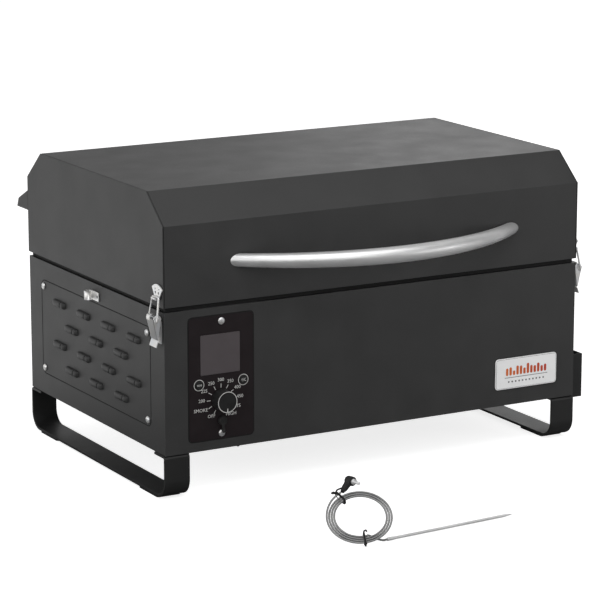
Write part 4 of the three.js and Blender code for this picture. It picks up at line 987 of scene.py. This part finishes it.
def probe_plug():
    elbow = Vector((-148.4, -371.5, 55.5))
    foot = coil_point(COIL_END - 3, COIL_OUTER, 4.2)
    pin = Vector((0.16, -0.98, 0.03)).normalized()
    body = Solid()
    count = 26
    path, sizes = [], []
    for i in range(count + 1):
        share = i / count
        path.append(foot.lerp(elbow, share))
        ribbed = 0.5 if 0.08 < share < 0.62 and i % 3 == 0 else 0.0
        swell = 1.1 * min(share / 0.3, 1) + 0.6 * min(share / 0.65, 1)
        sizes.append(2.3 + swell + 1.1 * max(0, (share - 0.65) / 0.35) - ribbed)
    body.sweep(path, sizes, 28)
    body.lathe(elbow, pin, [(0, -5.2), (3.0, -5.0), (4.4, -4.0), (5.1, -2.4), (5.2, 0), (5.2, 5.2),
                            (4.8, 6), (0, 6)], 36)
    piece("plug_boot", body, "meat_probe", "rubber", stands_for=("probe_plug",), smooth=40)
    tip = Solid().lathe(elbow, pin, [(0, 5.5), (3.2, 5.5), (3.2, 7.4), (2.9, 7.8), (1.75, 7.8),
                                     (1.75, 10.2), (1.35, 10.3), (1.35, 10.8), (1.75, 10.9),
                                     (1.75, 12.8), (1.35, 12.9), (1.35, 13.4), (1.75, 13.5),
                                     (1.7, 15.0), (1.25, 15.8), (1.5, 16.3), (1.1, 16.8), (0, 17)],
                        28)
    piece("plug_pin", tip, "meat_probe", "rubber", "needle")


def twist_tie(degrees):
    """Flat band of a tie around the bundle, and a helper to place points on it; cable_ties adds the
    twisted ends that stand off it.
    """
    middle_radius = (COIL_OUTER + COIL_INNER) / 2 + 0.4
    turn = Matrix.Rotation(math.radians(degrees), 4, "Z")
    to_coil = COIL_PLANE @ Matrix.Translation((0, COIL_OUTER, 0)) @ turn

    def spot(a, b, c):
        return to_coil @ Vector((middle_radius + a, b, 1.9 + c))

    band = [spot(u, 0, v) for u, v in rounded(0, 0, 15.2, 8.2, 3.6, 6)]
    solid = Solid().sweep(band, 1.0, closed=True,
                          section=[(-1.3, -0.5), (1.3, -0.5), (1.45, 0), (1.3, 0.5), (-1.3, 0.5),
                                   (-1.45, 0)])
    return solid, spot


def cable_ties():
    front, spot = twist_tie(-82)
    front.sweep(smooth_path([spot(7.2, 0, 1), spot(8.2, 0.8, 2.6), spot(8.2, -0.8, 4.0),
                             spot(7.4, 0.6, 5.4)], 6), 1.1, 12)
    front.sweep(smooth_path([spot(-7.2, 0, 2), spot(-8.6, 1.2, 3.6), spot(-8.0, 3.0, 4.6),
                             spot(-6.4, 3.4, 4.0)], 6), 0.95, 12)
    piece("tie_front", front, "meat_probe", "rubber", stands_for=("cable_tie_front",), smooth=60)
    rear, spot = twist_tie(131)
    rear.sweep(smooth_path([spot(7.2, 0, 2), spot(9.0, 2.4, 3.4), spot(8.4, 5.0, 4.2),
                            spot(6.8, 2.4, 3.6), spot(7.2, 0, 2.6)], 6), 0.95, 12)
    rear.sweep(smooth_path([spot(7.2, 0, 2), spot(8.6, -2.6, 3.2), spot(8.0, -6.4, 3.4),
                            spot(7.0, -10.0, 3.0)], 6), 0.95, 12)
    piece("tie_rear", rear, "meat_probe", "rubber", stands_for=("cable_tie_rear",), smooth=60)


# ---------------------------------------------------------------- CAD nodes that stay


def soften(obj, width):
    """Rounds a CAD node's edges without touching its mesh."""
    weld = obj.modifiers.new("weld", "WELD")
    weld.merge_threshold = 0.01 * MM
    flat = obj.modifiers.new("flat", "DECIMATE")
    flat.decimate_type = "DISSOLVE"
    flat.angle_limit = math.radians(0.5)
    round_edges(obj, width)
    for polygon in obj.data.polygons:
        polygon.use_smooth = True


def finish_cad_nodes():
    slots = {row["node"]: row["material_slot"] for row in frame["record"]["subparts"]}
    shells = {"lid_shell": 0.7, "body_shell": 0.6, "control_panel": 0.7, "display_window": 0.3}
    for name, obj in frame["nodes"].items():
        if name in REPLACED:
            continue
        dress(obj, slots[name], "gasket_and_gap_shade" if name == "rim_gasket" else None)
        soften(obj, shells.get(name, 0.3))


handle()
louvered_panel()
screws()
latch("left", -1)
latch("right", 1)
cable_clip()
badge()
knob()
dial_legend()
panel_gaps()
keys()
probe_jack()
leg("left")
leg("right")
foot_pads()
grate()
small_hardware()
probe_cable()
probe_needle()
probe_plug()
cable_ties()
finish_cad_nodes()

# ---------------------------------------------------------------- studio


def floor():
    """White floor. The camera sees it lifted to plain white; reflections see it dark in front,
    most of all at the left, and lifted behind."""
    size = 30.0
    mesh = bpy.data.meshes.new("floor")
    corners = [(-size, -size, 0), (size, -size, 0), (size, size, 0), (-size, size, 0)]
    mesh.from_pydata(corners, [], [(0, 1, 2, 3)])
    obj = bpy.data.objects.new("floor", mesh)
    bpy.context.scene.collection.objects.link(obj)
    g = Graph("floor_paint")
    x, y, _ = g.node("ShaderNodeSeparateXYZ", {
        0: g.node("ShaderNodeNewGeometry").outputs["Position"]}).outputs
    path = g.node("ShaderNodeLightPath").outputs
    ahead = g.ranged(y, 1, 0, 0.2, 0.6)
    mirrored = path["Is Glossy Ray"]
    dim = g.maths("MULTIPLY", g.maths("MULTIPLY", mirrored, ahead), g.ranged(x, 0.92, 0.45, 0, 0.9))
    bright = g.maths("MULTIPLY", mirrored, g.maths("SUBTRACT", 1.0, ahead))
    lift = g.maths("ADD", g.maths("MULTIPLY", path["Is Camera Ray"], FLOOR_LIFT),
                   g.maths("MULTIPLY", bright, FLOOR_SHEEN))
    paint = g.mix(g.ranged(g.noise(900, 3), 0, 1), grey(0.84), grey(0.86))
    mesh.materials.append(g.done(
        Base_Color=g.mix(dim, paint, grey(0.0)), Roughness=0.9, Specular_IOR_Level=0.0,
        Emission_Color=grey(1.0), Emission_Strength=lift))


def softbox(name, spot, aim, width, height, power):
    data = bpy.data.lights.new(name, "AREA")
    data.shape = "RECTANGLE"
    data.size, data.size_y, data.energy = width, height, power
    obj = bpy.data.objects.new(name, data)
    obj.location = spot
    obj.rotation_euler = (Vector(aim) - Vector(spot)).to_track_quat("-Z", "Y").to_euler()
    bpy.context.scene.collection.objects.link(obj)


FLOOR_LIFT = 0.80                              # extra white that only the camera sees
FLOOR_SHEEN = 0.5                              # extra white behind the grill in reflections
ROOM = {"front": 0.13, "back": 0.54, "left": 1.3, "above": 0.2}


def studio():
    """White room: brightness by direction, plain white where the camera sees it."""
    world = bpy.data.worlds.new("studio")
    bpy.context.scene.world = world
    world.use_nodes = True
    tree = world.node_tree

    def node(kind, inputs, **settings):
        made = tree.nodes.new(kind)
        for key, value in settings.items():
            setattr(made, key, value)
        for key, value in inputs.items():
            if isinstance(value, bpy.types.NodeSocket):
                tree.links.new(value, made.inputs[key])
            else:
                made.inputs[key].default_value = value
        return made

    def share(value, start, stop):
        return node("ShaderNodeMapRange", {"Value": value, "From Min": start, "From Max": stop},
                    interpolation_type="SMOOTHSTEP").outputs[0]

    def blend(factor, a, b):
        return node("ShaderNodeMix", {"Factor": factor, "A": a, "B": b}).outputs["Result"]

    toward = node("ShaderNodeTexCoord", {}).outputs["Generated"]
    x, y, z = node("ShaderNodeSeparateXYZ", {0: toward}).outputs
    level = blend(share(y, -0.3, 0.35), ROOM["front"], ROOM["back"])
    level = blend(share(x, -0.45, -0.95), level, ROOM["left"])
    level = blend(share(z, 0.35, 0.8), level, ROOM["above"])
    seen = node("ShaderNodeLightPath", {}).outputs["Is Camera Ray"]
    background = tree.nodes["Background"]
    background.inputs["Color"].default_value = (1, 1, 1, 1)
    tree.links.new(blend(seen, level, 1.0), background.inputs["Strength"])
    centre = (0, 0.1, 0.2)
    softbox("overhead_front", (-0.1, -0.9, 2.2), centre, 2.4, 1.7, 21)
    softbox("front_low", (-0.5, -1.7, 1.15), (0, -0.2, 0.24), 2.2, 0.9, 7)
    softbox("front_right", (1.5, -1.5, 0.5), (0.2, -0.05, 0.2), 0.8, 0.8, 3)
    softbox("back_right", (1.5, 1.6, 1.1), (0.2, 0.1, 0.35), 1.2, 0.8, 4.4)


def camera():
    data = bpy.data.cameras.new("camera")
    data.sensor_width, data.lens = 36, 168.43
    obj = bpy.data.objects.new("camera", data)
    obj.location = place((-1648.76, -2916.88, 927.25))
    obj.rotation_euler = (math.radians(90 - 12.76), 0, math.radians(-29.46))
    bpy.context.scene.collection.objects.link(obj)
    bpy.context.scene.camera = obj


floor()
studio()
camera()
bpy.context.scene.view_settings.view_transform = "Standard"
